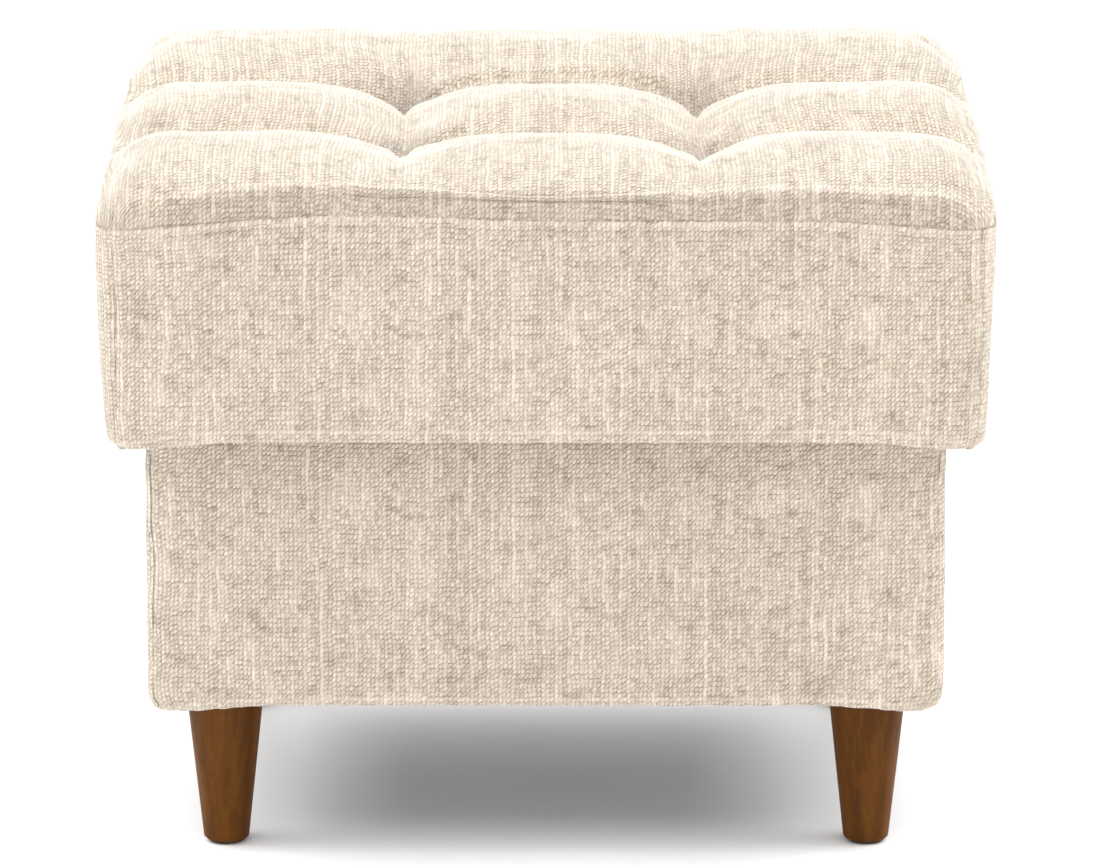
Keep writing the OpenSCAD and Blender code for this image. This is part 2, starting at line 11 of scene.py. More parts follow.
import bpy
import numpy as np
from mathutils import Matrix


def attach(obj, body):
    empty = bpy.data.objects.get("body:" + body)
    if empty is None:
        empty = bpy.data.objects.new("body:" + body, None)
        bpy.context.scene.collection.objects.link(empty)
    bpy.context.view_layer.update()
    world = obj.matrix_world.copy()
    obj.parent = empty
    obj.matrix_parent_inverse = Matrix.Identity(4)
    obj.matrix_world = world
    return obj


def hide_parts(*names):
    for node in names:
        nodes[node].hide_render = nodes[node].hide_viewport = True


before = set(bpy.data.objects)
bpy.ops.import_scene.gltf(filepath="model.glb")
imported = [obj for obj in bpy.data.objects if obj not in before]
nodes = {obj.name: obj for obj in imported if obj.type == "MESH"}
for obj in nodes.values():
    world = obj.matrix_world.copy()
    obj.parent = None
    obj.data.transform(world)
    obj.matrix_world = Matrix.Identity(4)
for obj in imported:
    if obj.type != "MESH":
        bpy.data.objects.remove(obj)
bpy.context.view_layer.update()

# %% [markdown]
# ## Sizes
# All shapes below are worked out in millimetres, as a maker would write them, and are turned into
# metres when they become meshes. In the functions, a and b are half of a box's width and depth, and r
# is the radius of its corners. These sizes repeat the solid model's, so each soft piece lies where its
# plain solid lies.

# %% Sizes of the seat, the base and the legs, in millimetres
MM = 0.001
SEAT_A = 280.0
SEAT_B = 233.5
SEAT_CORNER = 20.0
BASE_A = 252.0
BASE_B = 204.0
BASE_CORNER = 12.0
Z_BASE = 101.5
Z_RIM = 279.0
Z_UNDER = 279.3
Z_SEAM = 424.3
TOP_RISE = 36.0
EDGE_ROLL = 45.0
CREASE_INSET = 6.0
FADE_LEFT = 95.0
FADE_RIGHT = 36.0
FRONT_FADE = 22.0
TUFT_X = 98.0
TUFT_Y = 77.5
TUFT_DEPTH = 34.0
CROSS_DEPTH = 24.0
LONG_DEPTH = 0.5
TUFT_REACH = 50.0
REACH_FRONT = 90.0
REACH_MIDDLE = 140.0
REACH_BACK = 42.0
LEG_X = 205.0
LEG_Y = 157.0
SWELL_ROOM = 1.8
LAYER_GAP = 0.1
CLOTH = 2.0

# %% [markdown]
# ## Building surfaces
# A cloth is a grid of points. Two grids of the same size, its outer and its inner face, joined round
# their edge, make a closed sheet with a real thickness. A soft block is a stack of rings, closed at
# both ends. Both only need whole arrays of corner numbers, so no loop runs over the points.

# %% From arrays of points to meshes
def grid_quads(rows, cols, first):
    """Corners of each cell of a grid, counted row by row from the number first."""
    corner = first + (np.arange(rows - 1)[:, None] * cols + np.arange(cols - 1)).ravel()
    return np.stack([corner, corner + 1, corner + cols + 1, corner + cols], 1)


def edge_loop(rows, cols):
    """Numbers of the points round the edge of a grid, in order."""
    number = np.arange(rows * cols).reshape(rows, cols)
    return np.concatenate([number[0], number[1:, -1], number[-1, -2::-1], number[-2:0:-1, 0]])


def band_quads(upper, lower):
    """Quads between two closed loops of point numbers."""
    return np.stack([upper, lower, np.roll(lower, -1), np.roll(upper, -1)], 1)


def new_piece(name, points, faces, uv=None, marks=None):
    """A mesh object from points in millimetres. uv holds a place on the flat cloth for each point,
    in metres, and marks runs at each point from -1 on the crown of a ridge, which the finish paints
    paler as a highlight, to 1 in the bottom of a seam."""
    mesh = bpy.data.meshes.new(name)
    mesh.from_pydata((points * MM).tolist(), [], faces)
    mesh.shade_smooth()
    if uv is not None:
        corner_points = np.empty(len(mesh.loops), np.int32)
        mesh.loops.foreach_get("vertex_index", corner_points)
        layer = mesh.uv_layers.new(name="cloth")
        layer.data.foreach_set("uv", uv[corner_points].astype(np.float32).ravel())
    if marks is not None:
        seam = mesh.attributes.new("seam", "FLOAT", "POINT")
        seam.data.foreach_set("value", marks.astype(np.float32))
    mesh.validate()
    piece = bpy.data.objects.new(name, mesh)
    bpy.context.scene.collection.objects.link(piece)
    return piece


def shell(name, outer, inner, uv=None, marks=None):
    """A closed sheet. outer and inner are grids of points, rows by columns by three. Seen from
    outside, the rows of outer run downwards and its columns run to the right."""
    rows, cols = outer.shape[:2]
    count = rows * cols
    loop = edge_loop(rows, cols)
    faces = grid_quads(rows, cols, 0)[:, ::-1].tolist()
    faces += grid_quads(rows, cols, count).tolist()
    faces += band_quads(loop + count, loop)[:, ::-1].tolist()
    points = np.concatenate([outer.reshape(-1, 3), inner.reshape(-1, 3)])
    both = None if uv is None else np.tile(uv.reshape(-1, 2) * MM, (2, 1))
    seams = None if marks is None else np.tile(marks.ravel(), 2)
    return new_piece(name, points, faces, both, seams)


def ring_stack(name, rings, closed_band=False):
    """A solid from rings of points, levels by points by three, that turn anticlockwise seen from
    above and go up. The ends are filled, or for a band the last ring joins the first."""
    levels, size = rings.shape[:2]
    number = np.arange(levels * size).reshape(levels, size)
    faces = []
    for k in range(levels if closed_band else levels - 1):
        faces += band_quads(number[(k + 1) % levels], number[k]).tolist()
    if not closed_band:
        faces += [number[0, ::-1].tolist(), number[-1].tolist()]
    return new_piece(name, rings.reshape(-1, 3), faces)


def spaced_lines(low, high, coarse, fine, places, reach):
    """Grid lines from low to high. Their density is one in coarse, rising to one in fine round each
    place as a bell of half width reach. The running sum of the density, cut into equal steps, gives
    the lines."""
    x = np.linspace(low, high, 6001)
    near = np.max([bell(x - p, reach) for p in places], axis=0)
    density = 1 / coarse + (1 / fine - 1 / coarse) * near
    total = np.concatenate([[0], np.cumsum((density[1:] + density[:-1]) / 2 * np.diff(x))])
    steps = int(round(total[-1]))
    return np.interp(np.linspace(0, total[-1], steps + 1), total, x)


# %% Curves and distances that the shapes share
LATTICE = 97


def bell(distance, reach):
    """e to the minus square of distance over reach: 1 at the line, and nearly 0 two reaches away."""
    return np.exp(-np.square(distance / reach))


def smooth(t):
    """An S-curve from 0 to 1, three t squared minus two t cubed, with t held between 0 and 1."""
    t = np.clip(t, 0, 1)
    return t * t * (3 - 2 * t)


def soft_noise(u, v, cell, seed):
    """Random heights from -1 to 1 on a square lattice of the given cell, blended between its points
    by S-curves. The lattice repeats after LATTICE cells, which is more than any piece covers."""
    lattice = np.random.default_rng(seed).uniform(-1, 1, (LATTICE, LATTICE))
    u, v = np.broadcast_arrays(u / cell + 31, v / cell + 31)
    i, j = np.floor(u).astype(int), np.floor(v).astype(int)
    across, up = smooth(u - i), smooth(v - j)
    left, right = i % LATTICE, (i + 1) % LATTICE
    rows = (j % LATTICE, (j + 1) % LATTICE)
    low, high = (lattice[row, left] * (1 - across) + lattice[row, right] * across for row in rows)
    return low * (1 - up) + high * up


def edge_distances(x, y):
    """Distances in the plan from the seat's left or right edge and from its front or back edge."""
    return SEAT_A - np.abs(x), SEAT_B - np.abs(y)


def channel_distances(x, y):
    """Distances in the plan from the nearest front-to-back channel and from the nearest side-to-side
    one."""
    return np.abs(np.abs(x) - TUFT_X), np.abs(np.abs(y) - TUFT_Y)


def unit(vectors):
    """Vectors brought to length 1: each divided by its own length."""
    return vectors / np.maximum(np.linalg.norm(vectors, axis=-1, keepdims=True), 1e-9)


def grid_normals(points):
    """The unit normal at each point of a grid: the cross product of the directions down its rows and
    along them."""
    return unit(np.cross(np.gradient(points, axis=0), np.gradient(points, axis=1)))


def run_length(points, axis):
    """The distance run along a grid of points down its rows (axis 0) or along them (axis 1), 0 at
    the middle."""
    step = np.linalg.norm(np.diff(points, axis=axis), axis=2)
    total = np.cumsum(np.insert(step, 0, 0, axis=axis), axis=axis)
    middle = np.take(total, [total.shape[axis] // 2], axis=axis)
    return total - middle


# %% [markdown]
# ## The tufted top
# On the real pouf the top is one cloth sewn in four lines, two from side to side and two from front to
# back, and pulled down hard where they cross. Nine puffs swell between the lines. The surface is a
# height over the plan: a dome for each puff that falls to the channels round it, all rolled down to the
# seam at the edges.

# %% Height of the tufted top
PUFF_X = min(TUFT_X, (SEAT_A - TUFT_X) / 2)
PUFF_Y = min(TUFT_Y, (SEAT_B - TUFT_Y) / 2)
TUFT_PULL = TUFT_DEPTH / 2 ** (1 / 3)
PULL_SHARE = 0.95
REAR_EXTRA = 0.07
RIGHT_EXTRA = 0.04
FRONT_STEEPNESS = 1.4
GENTLE_BEHIND = 0.35
GENTLE_REACH = 35.0
REAR_NARROWING = 0.45
SEAM_DROOP = 6.0
SEAM_DROOP_REACH = 120.0
SEAM_RISE = 3.5
SEAM_RISE_X = -113.0
SEAM_RISE_REACH = 75.0
SEAM_WAVE_WIDTH = 28.0
CREASE_DEPTH = 3.4


def pull(depth, distance, reach, x, y):
    """Depth of a channel: its own away from the tufts, rising to the tufts' pull as a bell of the
    tufts' reach. The rear tufts are pulled harder than the front ones, and the left ones less than
    the right ones."""
    rear, right = np.clip(y / TUFT_Y, -1, 1), np.clip(x / TUFT_X, -1, 1)
    share = PULL_SHARE + REAR_EXTRA * rear + RIGHT_EXTRA * right
    return depth + (TUFT_PULL * share - depth) * bell(distance, reach)


def dome_fall(distance, reach):
    """Share of a channel's depth at a distance from it: the square of one minus distance over reach."""
    return np.square(np.maximum(0, 1 - distance / reach))


def hollow(x, y):
    """How far the top lies below its crest. The two directions' channels join as the cube root of
    the sum of their cubes, so each keeps its own depth where it runs alone. The pull of the tufts
    reaches furthest between the two rows and least behind the rear one. The middle and rear puffs
    are steeper on their front sides, and the middle ones fall gently to the rear tufts."""
    from_x, from_y = channel_distances(x, y)
    reach = np.where(y > TUFT_Y, REACH_BACK, np.where(y > -TUFT_Y, REACH_MIDDLE, REACH_FRONT))
    steep = np.where((y > TUFT_Y) | ((y > -TUFT_Y) & (y < 0)), FRONT_STEEPNESS, 1)
    steep = np.where((y > 0) & (y < TUFT_Y), 1 - GENTLE_BEHIND * bell(from_x, GENTLE_REACH), steep)
    narrow = 1 + REAR_NARROWING * smooth(y / TUFT_Y)
    cross = pull(CROSS_DEPTH, from_x, TUFT_REACH, x, y) * dome_fall(from_y, PUFF_Y) ** steep
    along = pull(LONG_DEPTH, from_y, reach, x, y) * dome_fall(from_x, PUFF_X) ** narrow
    return np.cbrt(cross ** 3 + along ** 3)


def roll(inset):
    """A quarter circle from 0 at the seam to 1 at the roll's width: the square root of one minus the
    square of one minus inset over width."""
    return np.sqrt(1 - np.square(1 - np.clip(inset / EDGE_ROLL, 0, 1)))


def front_roll(inset):
    """The front edge's roll: the same quarter circle up to the lip of the crease, and from there a
    flatter curve, where the rest of the rise dies away as e to the minus distance over its reach."""
    past = np.maximum(0, inset - CREASE_INSET)
    return np.where(past > 0, 1 - (1 - roll(CREASE_INSET)) * np.exp(-past / FRONT_FADE), roll(inset))


def from_corner(x, y, a, b):
    """Distance along the outline to the nearest corner of a rectangle of half sizes a and b."""
    return np.maximum(0, a - np.abs(x)) + np.maximum(0, b - np.abs(y))


def seam_wave(x, y):
    """How far the sewn seam round the top wanders from level: down towards the corners, and up a
    little on the left of the front, where the cloth was eased in."""
    corner = smooth(1 - from_corner(x, y, SEAT_A, SEAT_B) / SEAM_DROOP_REACH)
    front = smooth((-y - 150) / 60)
    return SEAM_RISE * front * bell(x - SEAM_RISE_X, SEAM_RISE_REACH) - SEAM_DROOP * corner


def crease_line(run, x):
    """Inset of the crease from the seam, by the distance run along the edge from the nearest corner.
    The crease curves out to meet the seam at the corners, slowly on the left and quickly on the
    right."""
    return CREASE_INSET * smooth(run / np.where(x > 0, FADE_RIGHT, FADE_LEFT))


def crease_depth(x, y):
    """The crease inside the seam. The puffs end in a lip on its line, and from there down to the
    seam the cloth lies in a shallow bowl."""
    edge_x, edge_y = edge_distances(x, y)
    depth = 0
    for across, run in ((edge_x, edge_y), (edge_y, edge_x)):
        line = crease_line(run, x)
        bowl = smooth(across / np.maximum(0.8 * line, 1)) * (1 - smooth((across - line + 0.4) / 1.8))
        depth = np.maximum(depth, CREASE_DEPTH * bowl * smooth(2 * line / CREASE_INSET))
    return depth


def top_height(x, y):
    """Height of the top over the floor: the seam, plus the puffs times the rolls of both edges,
    minus the crease that runs round just inside the seam. The puffs start a little low, because the
    simulation swells them."""
    edge_x, edge_y = edge_distances(x, y)
    wave = seam_wave(x, y) * (1 - smooth(np.minimum(edge_x, edge_y) / SEAM_WAVE_WIDTH))
    rolled = roll(edge_x) * np.where(y < 0, front_roll(edge_y), roll(edge_y))
    return Z_SEAM + (TOP_RISE - SWELL_ROOM - hollow(x, y)) * rolled - crease_depth(x, y) + wave


# %% Fine folds of the tufted top
GROOVE_DEPTH = 1.2
GROOVE_HALF = 1.4
PUCKER_REACH = 9.0
FOLD_RADIUS = 15.0
FOLD_HEIGHT = 1.2
REAR_PIT = 0.5
FRONT_PIT = 3.5
SLACK_BOW = 15.0
SLACK_DEPTH = 3.4
LEFT_SHIFT = 5.3
LIP_OUT = 3.0


def stitched_groove(x, y):
    """The sewn lines: a narrow groove on each, with small puckers beside it."""
    from_x, from_y = channel_distances(x, y)
    pucker = 0.5 * soft_noise(x, y, 7, 3) + 0.4 * soft_noise(x, y, 13, 4)
    depth = GROOVE_DEPTH + 0.5 * soft_noise(x + y, x - y, 6, 2)
    behind = 1 - 0.6 * smooth((y - TUFT_Y) / 40)
    groove_x = depth * behind * bell(from_x, GROOVE_HALF) + pucker * bell(from_x, PUCKER_REACH)
    groove_y = depth * bell(from_y, GROOVE_HALF) + pucker * bell(from_y, PUCKER_REACH)
    return np.maximum(groove_x, groove_y)


def tuft_folds(x, y):
    """Folds that run out from each tuft: waves round it that rise from its pit, are highest a little
    way out and die away, plus the pit itself, which is as pointed as a cone."""
    dx, dy = np.abs(x) - TUFT_X, np.abs(y) - TUFT_Y
    radius = np.hypot(dx, dy)
    turn = np.arctan2(dy, dx)
    lean = 1.3 * np.sign(x) + 0.7 * np.sign(y)
    waves = np.cos(7 * turn + lean) + 0.6 * np.cos(11 * turn - 2 * lean)
    reach = radius / FOLD_RADIUS
    pit = np.where(y > 0, REAR_PIT, FRONT_PIT) * np.exp(-reach) + 1.5 * bell(radius, 5)
    return FOLD_HEIGHT * waves * reach * np.exp(1 - reach) * smooth((radius - 3) / 8) - pit


def back_fold(x, y):
    """Depth of the one slack fold in the middle puff of the back row: a dent along an arc from tuft
    to tuft that bows to the back, with a low ridge behind it."""
    line = TUFT_Y + 1 + SLACK_BOW * (1 - np.square((x - 8) / 100))
    off = y - line
    return (SLACK_DEPTH * bell(off, 4.4) - 2.0 * bell(off - 9, 6)) * smooth((95 - np.abs(x - 4)) / 30)


def middle_sag(x, y):
    """How far the middle puffs are sat down, most of all the front one."""
    return bell(x, 75) * (4 * smooth((125 - y) / 80) + 3 * smooth((-60 - y) / 60))


def top_unevenness(x, y):
    """The slight lumps of hand-filled padding, as three sizes of noise, less the sag of the middle
    puffs."""
    lumps = 0.9 * soft_noise(x, y, 62, 5) + 0.45 * soft_noise(x, y, 27, 6) + 0.18 * soft_noise(x, y, 6, 7)
    return lumps - middle_sag(x, y)


def rounded_plan(x, y, a, b, r):
    """The square grid's points moved to the plan with round corners."""
    dx = np.maximum(0, np.abs(x) - (a - r))
    dy = np.maximum(0, np.abs(y) - (b - r))
    px = np.sign(x) * (np.abs(x) - dx + dx * np.sqrt(1 - dy * dy / (2 * r * r)))
    py = np.sign(y) * (np.abs(y) - dy + dy * np.sqrt(1 - dx * dx / (2 * r * r)))
    return px, py


def top_grid(xs, ys, depth, detail):
    """The top's points on the lines xs and ys, depth millimetres under its face. The left channel
    was sewn a little nearer the middle. With detail the top has its folds, its tucked edge at the
    seam and the lip that stands out over the crease."""
    x, y = np.meshgrid(xs, ys)
    a, b = SEAT_A - depth, SEAT_B - depth
    px, py = rounded_plan(x * a / SEAT_A, y * b / SEAT_B, a, b, SEAT_CORNER - depth)
    edge_x, edge_y = edge_distances(x, y)
    inset = np.minimum(edge_x, edge_y)
    px = px + LEFT_SHIFT * bell(x + TUFT_X, 55) * smooth(inset / 30)
    z = top_height(x, y) - depth * smooth(inset / (CREASE_INSET / 2))
    if detail:
        inside = smooth((inset - 2) / 10)
        z = z + inside * (tuft_folds(x, y) + top_unevenness(x, y) - back_fold(x, y))
        z = z - stitched_groove(x, y) * smooth(inset / 4)
        z = z - 1.1 * bell(inset, 2.2)
        line = crease_line(np.maximum(edge_x, edge_y), x)
        past = inset - line - 0.5 * soft_noise(x, y, 24, 9)
        lip = (LIP_OUT + 0.6 * soft_noise(x, y, 9, 10)) * bell(past - 1.2, 1.7)
        lip = (lip - 0.8 * bell(past + 1.8, 1.5)) * smooth(line / 4) - 0.8 * bell(inset, 2.2)
        share_x = smooth(0.5 + (edge_y - edge_x) / 14)
        px = px + np.sign(x) * lip * share_x
        py = py + np.sign(y) * lip * (1 - share_x)
    return np.stack([px, py, z], 2)


# %% [markdown]
# ### Letting the cloth swell
# A short cloth simulation gives the top the swell and the loose wrinkles that formulas lack. A coarse
# grid of the plain top is pinned along its seams and channels, made a little too large, and blown up
# softly from inside for twenty steps. How far each point moved, held within a cap, is then added to the
# fine grid.

# %% The simulation of the top cloth
SETTLE_FRAMES = 20
SETTLE_CELL = 5.0
SETTLE_PRESSURE = 4.0
SETTLE_GROWTH = 0.012
SETTLE_IN = 1.5
SETTLE_OUT = 5.0
SEWN_HALF = 4.0


def settle(points, held):
    """How far each point of a grid moves when the cloth swells, in millimetres. held is 1 where it
    is sewn down."""
    rows, cols = points.shape[:2]
    piece = new_piece("settling", points.reshape(-1, 3), grid_quads(rows, cols, 0)[:, ::-1].tolist())
    sewn = piece.vertex_groups.new(name="sewn")
    for number, weight in enumerate(held.ravel()):
        sewn.add([number], float(weight), "REPLACE")
    cloth = piece.modifiers.new("swelling", "CLOTH")
    cloth.settings.vertex_group_mass = sewn.name
    cloth.settings.use_pressure = True
    cloth.settings.uniform_pressure_force = SETTLE_PRESSURE
    cloth.settings.shrink_min = -SETTLE_GROWTH
    cloth.settings.bending_stiffness = 0.5
    cloth.settings.effector_weights.gravity = 0
    cloth.collision_settings.use_collision = False
    scene = bpy.context.scene
    for step in range(SETTLE_FRAMES):
        scene.frame_set(step + 1)
    swollen = piece.evaluated_get(bpy.context.evaluated_depsgraph_get())
    places = np.empty(3 * rows * cols, np.float32)
    swollen.data.vertices.foreach_get("co", places)
    scene.frame_set(1)
    bpy.data.objects.remove(piece)
    moved = places.reshape(rows, cols, 3) / MM - points
    moved[..., 2] = np.clip(moved[..., 2], -SETTLE_IN, SETTLE_OUT)
    return np.clip(moved, -SETTLE_OUT, SETTLE_OUT)


def between(values, known_x, known_y, xs, ys):
    """Values on a coarse grid carried over to a finer one. Three straight-line readings, half a cell
    apart and weighted one, two, one, round off the corners."""
    half = SETTLE_CELL / 2
    readings = ((0.25, -half), (0.5, 0), (0.25, half))

    def read(row, known, wanted):
        """The readings of one line of the grid, added up."""
        return sum(weight * np.interp(wanted + offset, known, row) for weight, offset in readings)

    values = np.apply_along_axis(read, 1, values, known_x, xs)
    return np.apply_along_axis(read, 0, values, known_y, ys)


def swelling():
    """Runs the simulation and returns a function that reads the swell at any grid of lines."""
    xs, ys = (np.linspace(-half, half, round(2 * half / SETTLE_CELL) + 1) for half in (SEAT_A, SEAT_B))
    x, y = np.meshgrid(xs, ys[::-1])
    from_x, from_y = channel_distances(x, y)
    inset = np.minimum(*edge_distances(x, y))
    held = np.maximum(bell(np.minimum(from_x, from_y), SEWN_HALF), 1 - smooth((inset - 5) / 8))
    moved = settle(top_grid(xs, ys[::-1], 0, False), held)[::-1]
    rise = moved[..., 2]
    print(f"the top swells by up to {rise.max():.1f} mm, {rise.mean():.1f} mm on average")
    return lambda xs_fine, ys_fine: between(moved, xs, ys, xs_fine, ys_fine)


swell = swelling()

# %% Make the top cloth
def seat_lines(half, tuft):
    """Grid lines across the seat, closer together at the channels, the creases and the edges."""
    places = [side * place for side in (-1, 1) for place in (tuft, half - CREASE_INSET, half)]
    return spaced_lines(-half, half, 4.2, 0.9, places, 5)


top_xs = seat_lines(SEAT_A, TUFT_X)
top_ys = seat_lines(SEAT_B, TUFT_Y)[::-1]
top_face = top_grid(top_xs, top_ys, 0, True) + swell(top_xs, top_ys)
top_back = top_grid(top_xs, top_ys, CLOTH, False) + swell(top_xs, top_ys)
top_plain = top_grid(top_xs, top_ys, 0, False)
top_uv = np.stack([run_length(top_plain, 1), -run_length(top_plain, 0)], 2)
plan_x, plan_y = np.meshgrid(top_xs, top_ys)
plan_edges = edge_distances(plan_x, plan_y)
plan_channels = channel_distances(plan_x, plan_y)
plan_inset = np.minimum(*plan_edges)
top_marks = np.max([
    bell(plan_channels[0], 1.6) * (1 - 0.7 * smooth((plan_y - TUFT_Y) / 40)),
    bell(plan_channels[1], 1.6),
    0.5 * bell(plan_inset, 1.8) * smooth(from_corner(plan_x, plan_y, SEAT_A, SEAT_B) / 90),
], axis=0)
tufted_top = shell("tufted_top", top_face, top_back, top_uv, top_marks)
plan_line = crease_line(np.maximum(*plan_edges), plan_x)
# Painted shade: the colour is darkened round each tuft's hollow and on the strip between the front lip and
# the seam, where shade falls.
strip_shade = 0.5 * (1 - smooth((plan_inset - plan_line + 0.8) / 1.6)) * smooth(plan_line / 4)
painted_shade = np.maximum(bell(np.hypot(*plan_channels), 30), strip_shade)
layer = tufted_top.data.attributes.new("painted_shade", "FLOAT", "POINT")
layer.data.foreach_set("value", np.tile(painted_shade.ravel(), 2).astype(np.float32))
print("tufted top:", top_face.shape[:2], "points, crest at", round(top_face[..., 2].max(), 1), "mm")

# %% Make the quilt pad under the top cloth
PAD_BELOW_SEAM = 8.0
pad_xs, pad_ys = (np.linspace(-half, half, 121) for half in (SEAT_A, SEAT_B))
pad_face = top_grid(pad_xs, pad_ys[::-1], CLOTH + 0.7, False) + 0.9 * swell(pad_xs, pad_ys[::-1])
pad_x, pad_y = pad_face[..., 0], pad_face[..., 1]
pad_channel = np.minimum(*channel_distances(pad_x, pad_y))
pad_face[..., 2] -= 0.8 + 0.4 * soft_noise(pad_x, pad_y, 18, 8)
pad_face[..., 2] -= 2.5 * bell(pad_channel, PUCKER_REACH)
pad_face[..., 2] -= middle_sag(pad_x, pad_y)
pad_floor = pad_face.copy()
pad_floor[..., 2] = Z_SEAM - PAD_BELOW_SEAM
pad_face[..., 2] = np.maximum(pad_face[..., 2], Z_SEAM - PAD_BELOW_SEAM + 1)
quilt_padding = shell("quilt_padding", pad_face, pad_floor)

# %% [markdown]
# ## Borders and covers
# The seat's upright border is four cloths, and so is the base's cover. The front and the back cloth are
# flat from seam to seam. The left and the right one wrap round both of their corners. Each is a
# profile, from the seam down and under, carried along the outline. The cloth dips at its seams, swells
# a little between them and has a folded hem, and its bottom edge hangs lower at the corners.

# %% A profile carried along one side
SEAT_LEAN = 4.5
SEAT_TURN = 5.0
BASE_TURN = 3.5
FOOT_GAP = 0.7
SEAT_DROOP = 8.0
BASE_DROOP = 5.0
SEAT_SEAM_TURN = 11.0
BASE_SEAM_TURN = 9.0
CORNER_REACH = 80.0
CORNER_ROUND = 15.0


def quarter_bend(turn, radius, foot, share):
    """Inset, height and droop share round the bottom edge: a quarter circle from upright to flat at
    foot."""
    return np.stack([radius * (1 - np.cos(turn)), foot + radius * (1 - np.sin(turn)), share], 1)


def seat_profile():
    """Inset, height and share of the corner droop down the seat's border: it leans in towards the
    bottom, turns through a quarter circle and runs flat under the board."""
    down = spaced_lines(0, 1, 0.026, 0.008, [0, 0.955], 0.05)
    foot = Z_UNDER + FOOT_GAP
    drop = Z_SEAM - foot - SEAT_TURN
    wall = np.stack([
        SEAT_LEAN * down ** 1.5, Z_SEAM - LAYER_GAP - down * drop, smooth((down - 0.35) / 0.65)
    ], 1)
    turn = np.radians(np.linspace(15, 90, 6))
    bend = quarter_bend(turn, SEAT_TURN, foot, 1 - 0.4 * turn / turn[-1]) + [SEAT_LEAN, 0, 0]
    under = np.linspace(12, 34, 7)
    flat = np.stack([under, np.full(7, foot), 0.6 * (1 - smooth((under - 10) / 8))], 1)
    return np.concatenate([wall, bend, flat])


def base_profile():
    """Inset, height and share of the corner droop down the base's cover: in from the rim, over its
    edge, down the face and under the panels."""
    turn = np.radians(np.linspace(0, 90, 6))
    foot = Z_BASE + FOOT_GAP
    rim = np.stack([np.linspace(22, 5, 5), np.full(5, Z_RIM), np.zeros(5)], 1)
    over = np.stack([BASE_TURN * (1 - np.sin(turn)), Z_RIM - BASE_TURN * (1 - np.cos(turn)), 0 * turn], 1)
    down = spaced_lines(0, 1, 0.022, 0.007, [0.97], 0.04)[1:]
    drop = Z_RIM - foot - 2 * BASE_TURN
    wall = np.stack([0 * down, Z_RIM - BASE_TURN - down * drop, smooth((down - 0.55) / 0.45)], 1)
    bend = quarter_bend(turn[1:], BASE_TURN, foot, 1 + 0 * turn[1:])
    under = np.linspace(6, 22, 6)
    flat = np.stack([under, np.full(6, foot), 1 - smooth((under - 3) / 8)], 1)
    return np.concatenate([rim, over, wall, bend, flat])


def side_path(a, r, with_corners, turn_in):
    """Distances along one side. The front and back cloth reach round the corner by turn_in, and the
    left and the right one have the rest of the corners' arcs. Lines lie closer at the seams."""
    half = a - r + (r * math.pi / 2 - turn_in if with_corners else turn_in) - LAYER_GAP
    return spaced_lines(-half, half, 2.8, 0.9, [-half, half, -a, a], 6)


def carry(path, profile, a, b, r, droop):
    """Points of a profile carried along a side that faces -Y. Where the path passes the straight
    part, it turns round the corner by the extra length over the radius. The corner droop dies away
    along the outline."""
    inset, height, share = (profile[:, k, None] for k in range(3))
    straight = a - r
    over = np.maximum(0, np.abs(path) - straight)
    angle = np.minimum(over / r, math.pi / 2)[None]
    along = np.clip(path / straight, -1, 1)[None]
    turn_r = np.maximum(r - inset, 0.5)
    x = along * (a - inset - turn_r) + np.sign(path)[None] * turn_r * np.sin(angle)
    y = -(b - inset - turn_r) - turn_r * np.cos(angle)
    corner = np.maximum(0, a - inset - np.abs(x)) + np.maximum(0, b - inset + y)
    z = height - droop * share * smooth(1 - corner / CORNER_REACH)
    low = smooth(1 - (height - height.min()) / CORNER_ROUND) * smooth(1 - (inset - 5) / 12)
    tuck = 0.4 * CORNER_ROUND * np.square(low) * smooth(1 - corner / 34)
    x = x - np.sign(x) * tuck
    y = y + tuck
    return np.stack([x, y, z + 0 * x], 2)


def turned(points, quarters):
    """Points turned about the upright axis by quarter turns, anticlockwise seen from above."""
    c, s = ((1, 0), (0, 1), (-1, 0), (0, -1))[quarters % 4]
    x, y, z = points[..., 0], points[..., 1], points[..., 2]
    return np.stack([c * x - s * y, s * x + c * y, z], -1)


# %% Seams, ridges and hems of the side cloths
SIDE_LUMPS = ((0.7, 70), (0.3, 24), (0.12, 4.2))
SEAM_HALF = 1.8
SEAM_SHOULDER = 4.5
RIDGE_PLACE = 2.8
RIDGE_HEIGHT = 2.1
RIDGE_HALF = 1.6
HEM_RIDGE = 0.8
HEM_DIP = 0.5
HEM_HALF = 1.5
TUCKED_SHARE = 0.15


def seam_wander(z, seam):
    """How far an upright seam runs to one side at a height. Both cloths that meet in it use the same
    seam number, so they stay joined."""
    return 1.7 * soft_noise(z, 53 * seam + 0 * z, 38, 90) + 0.7 * soft_noise(z, 53 * seam + 0 * z, 13, 91)


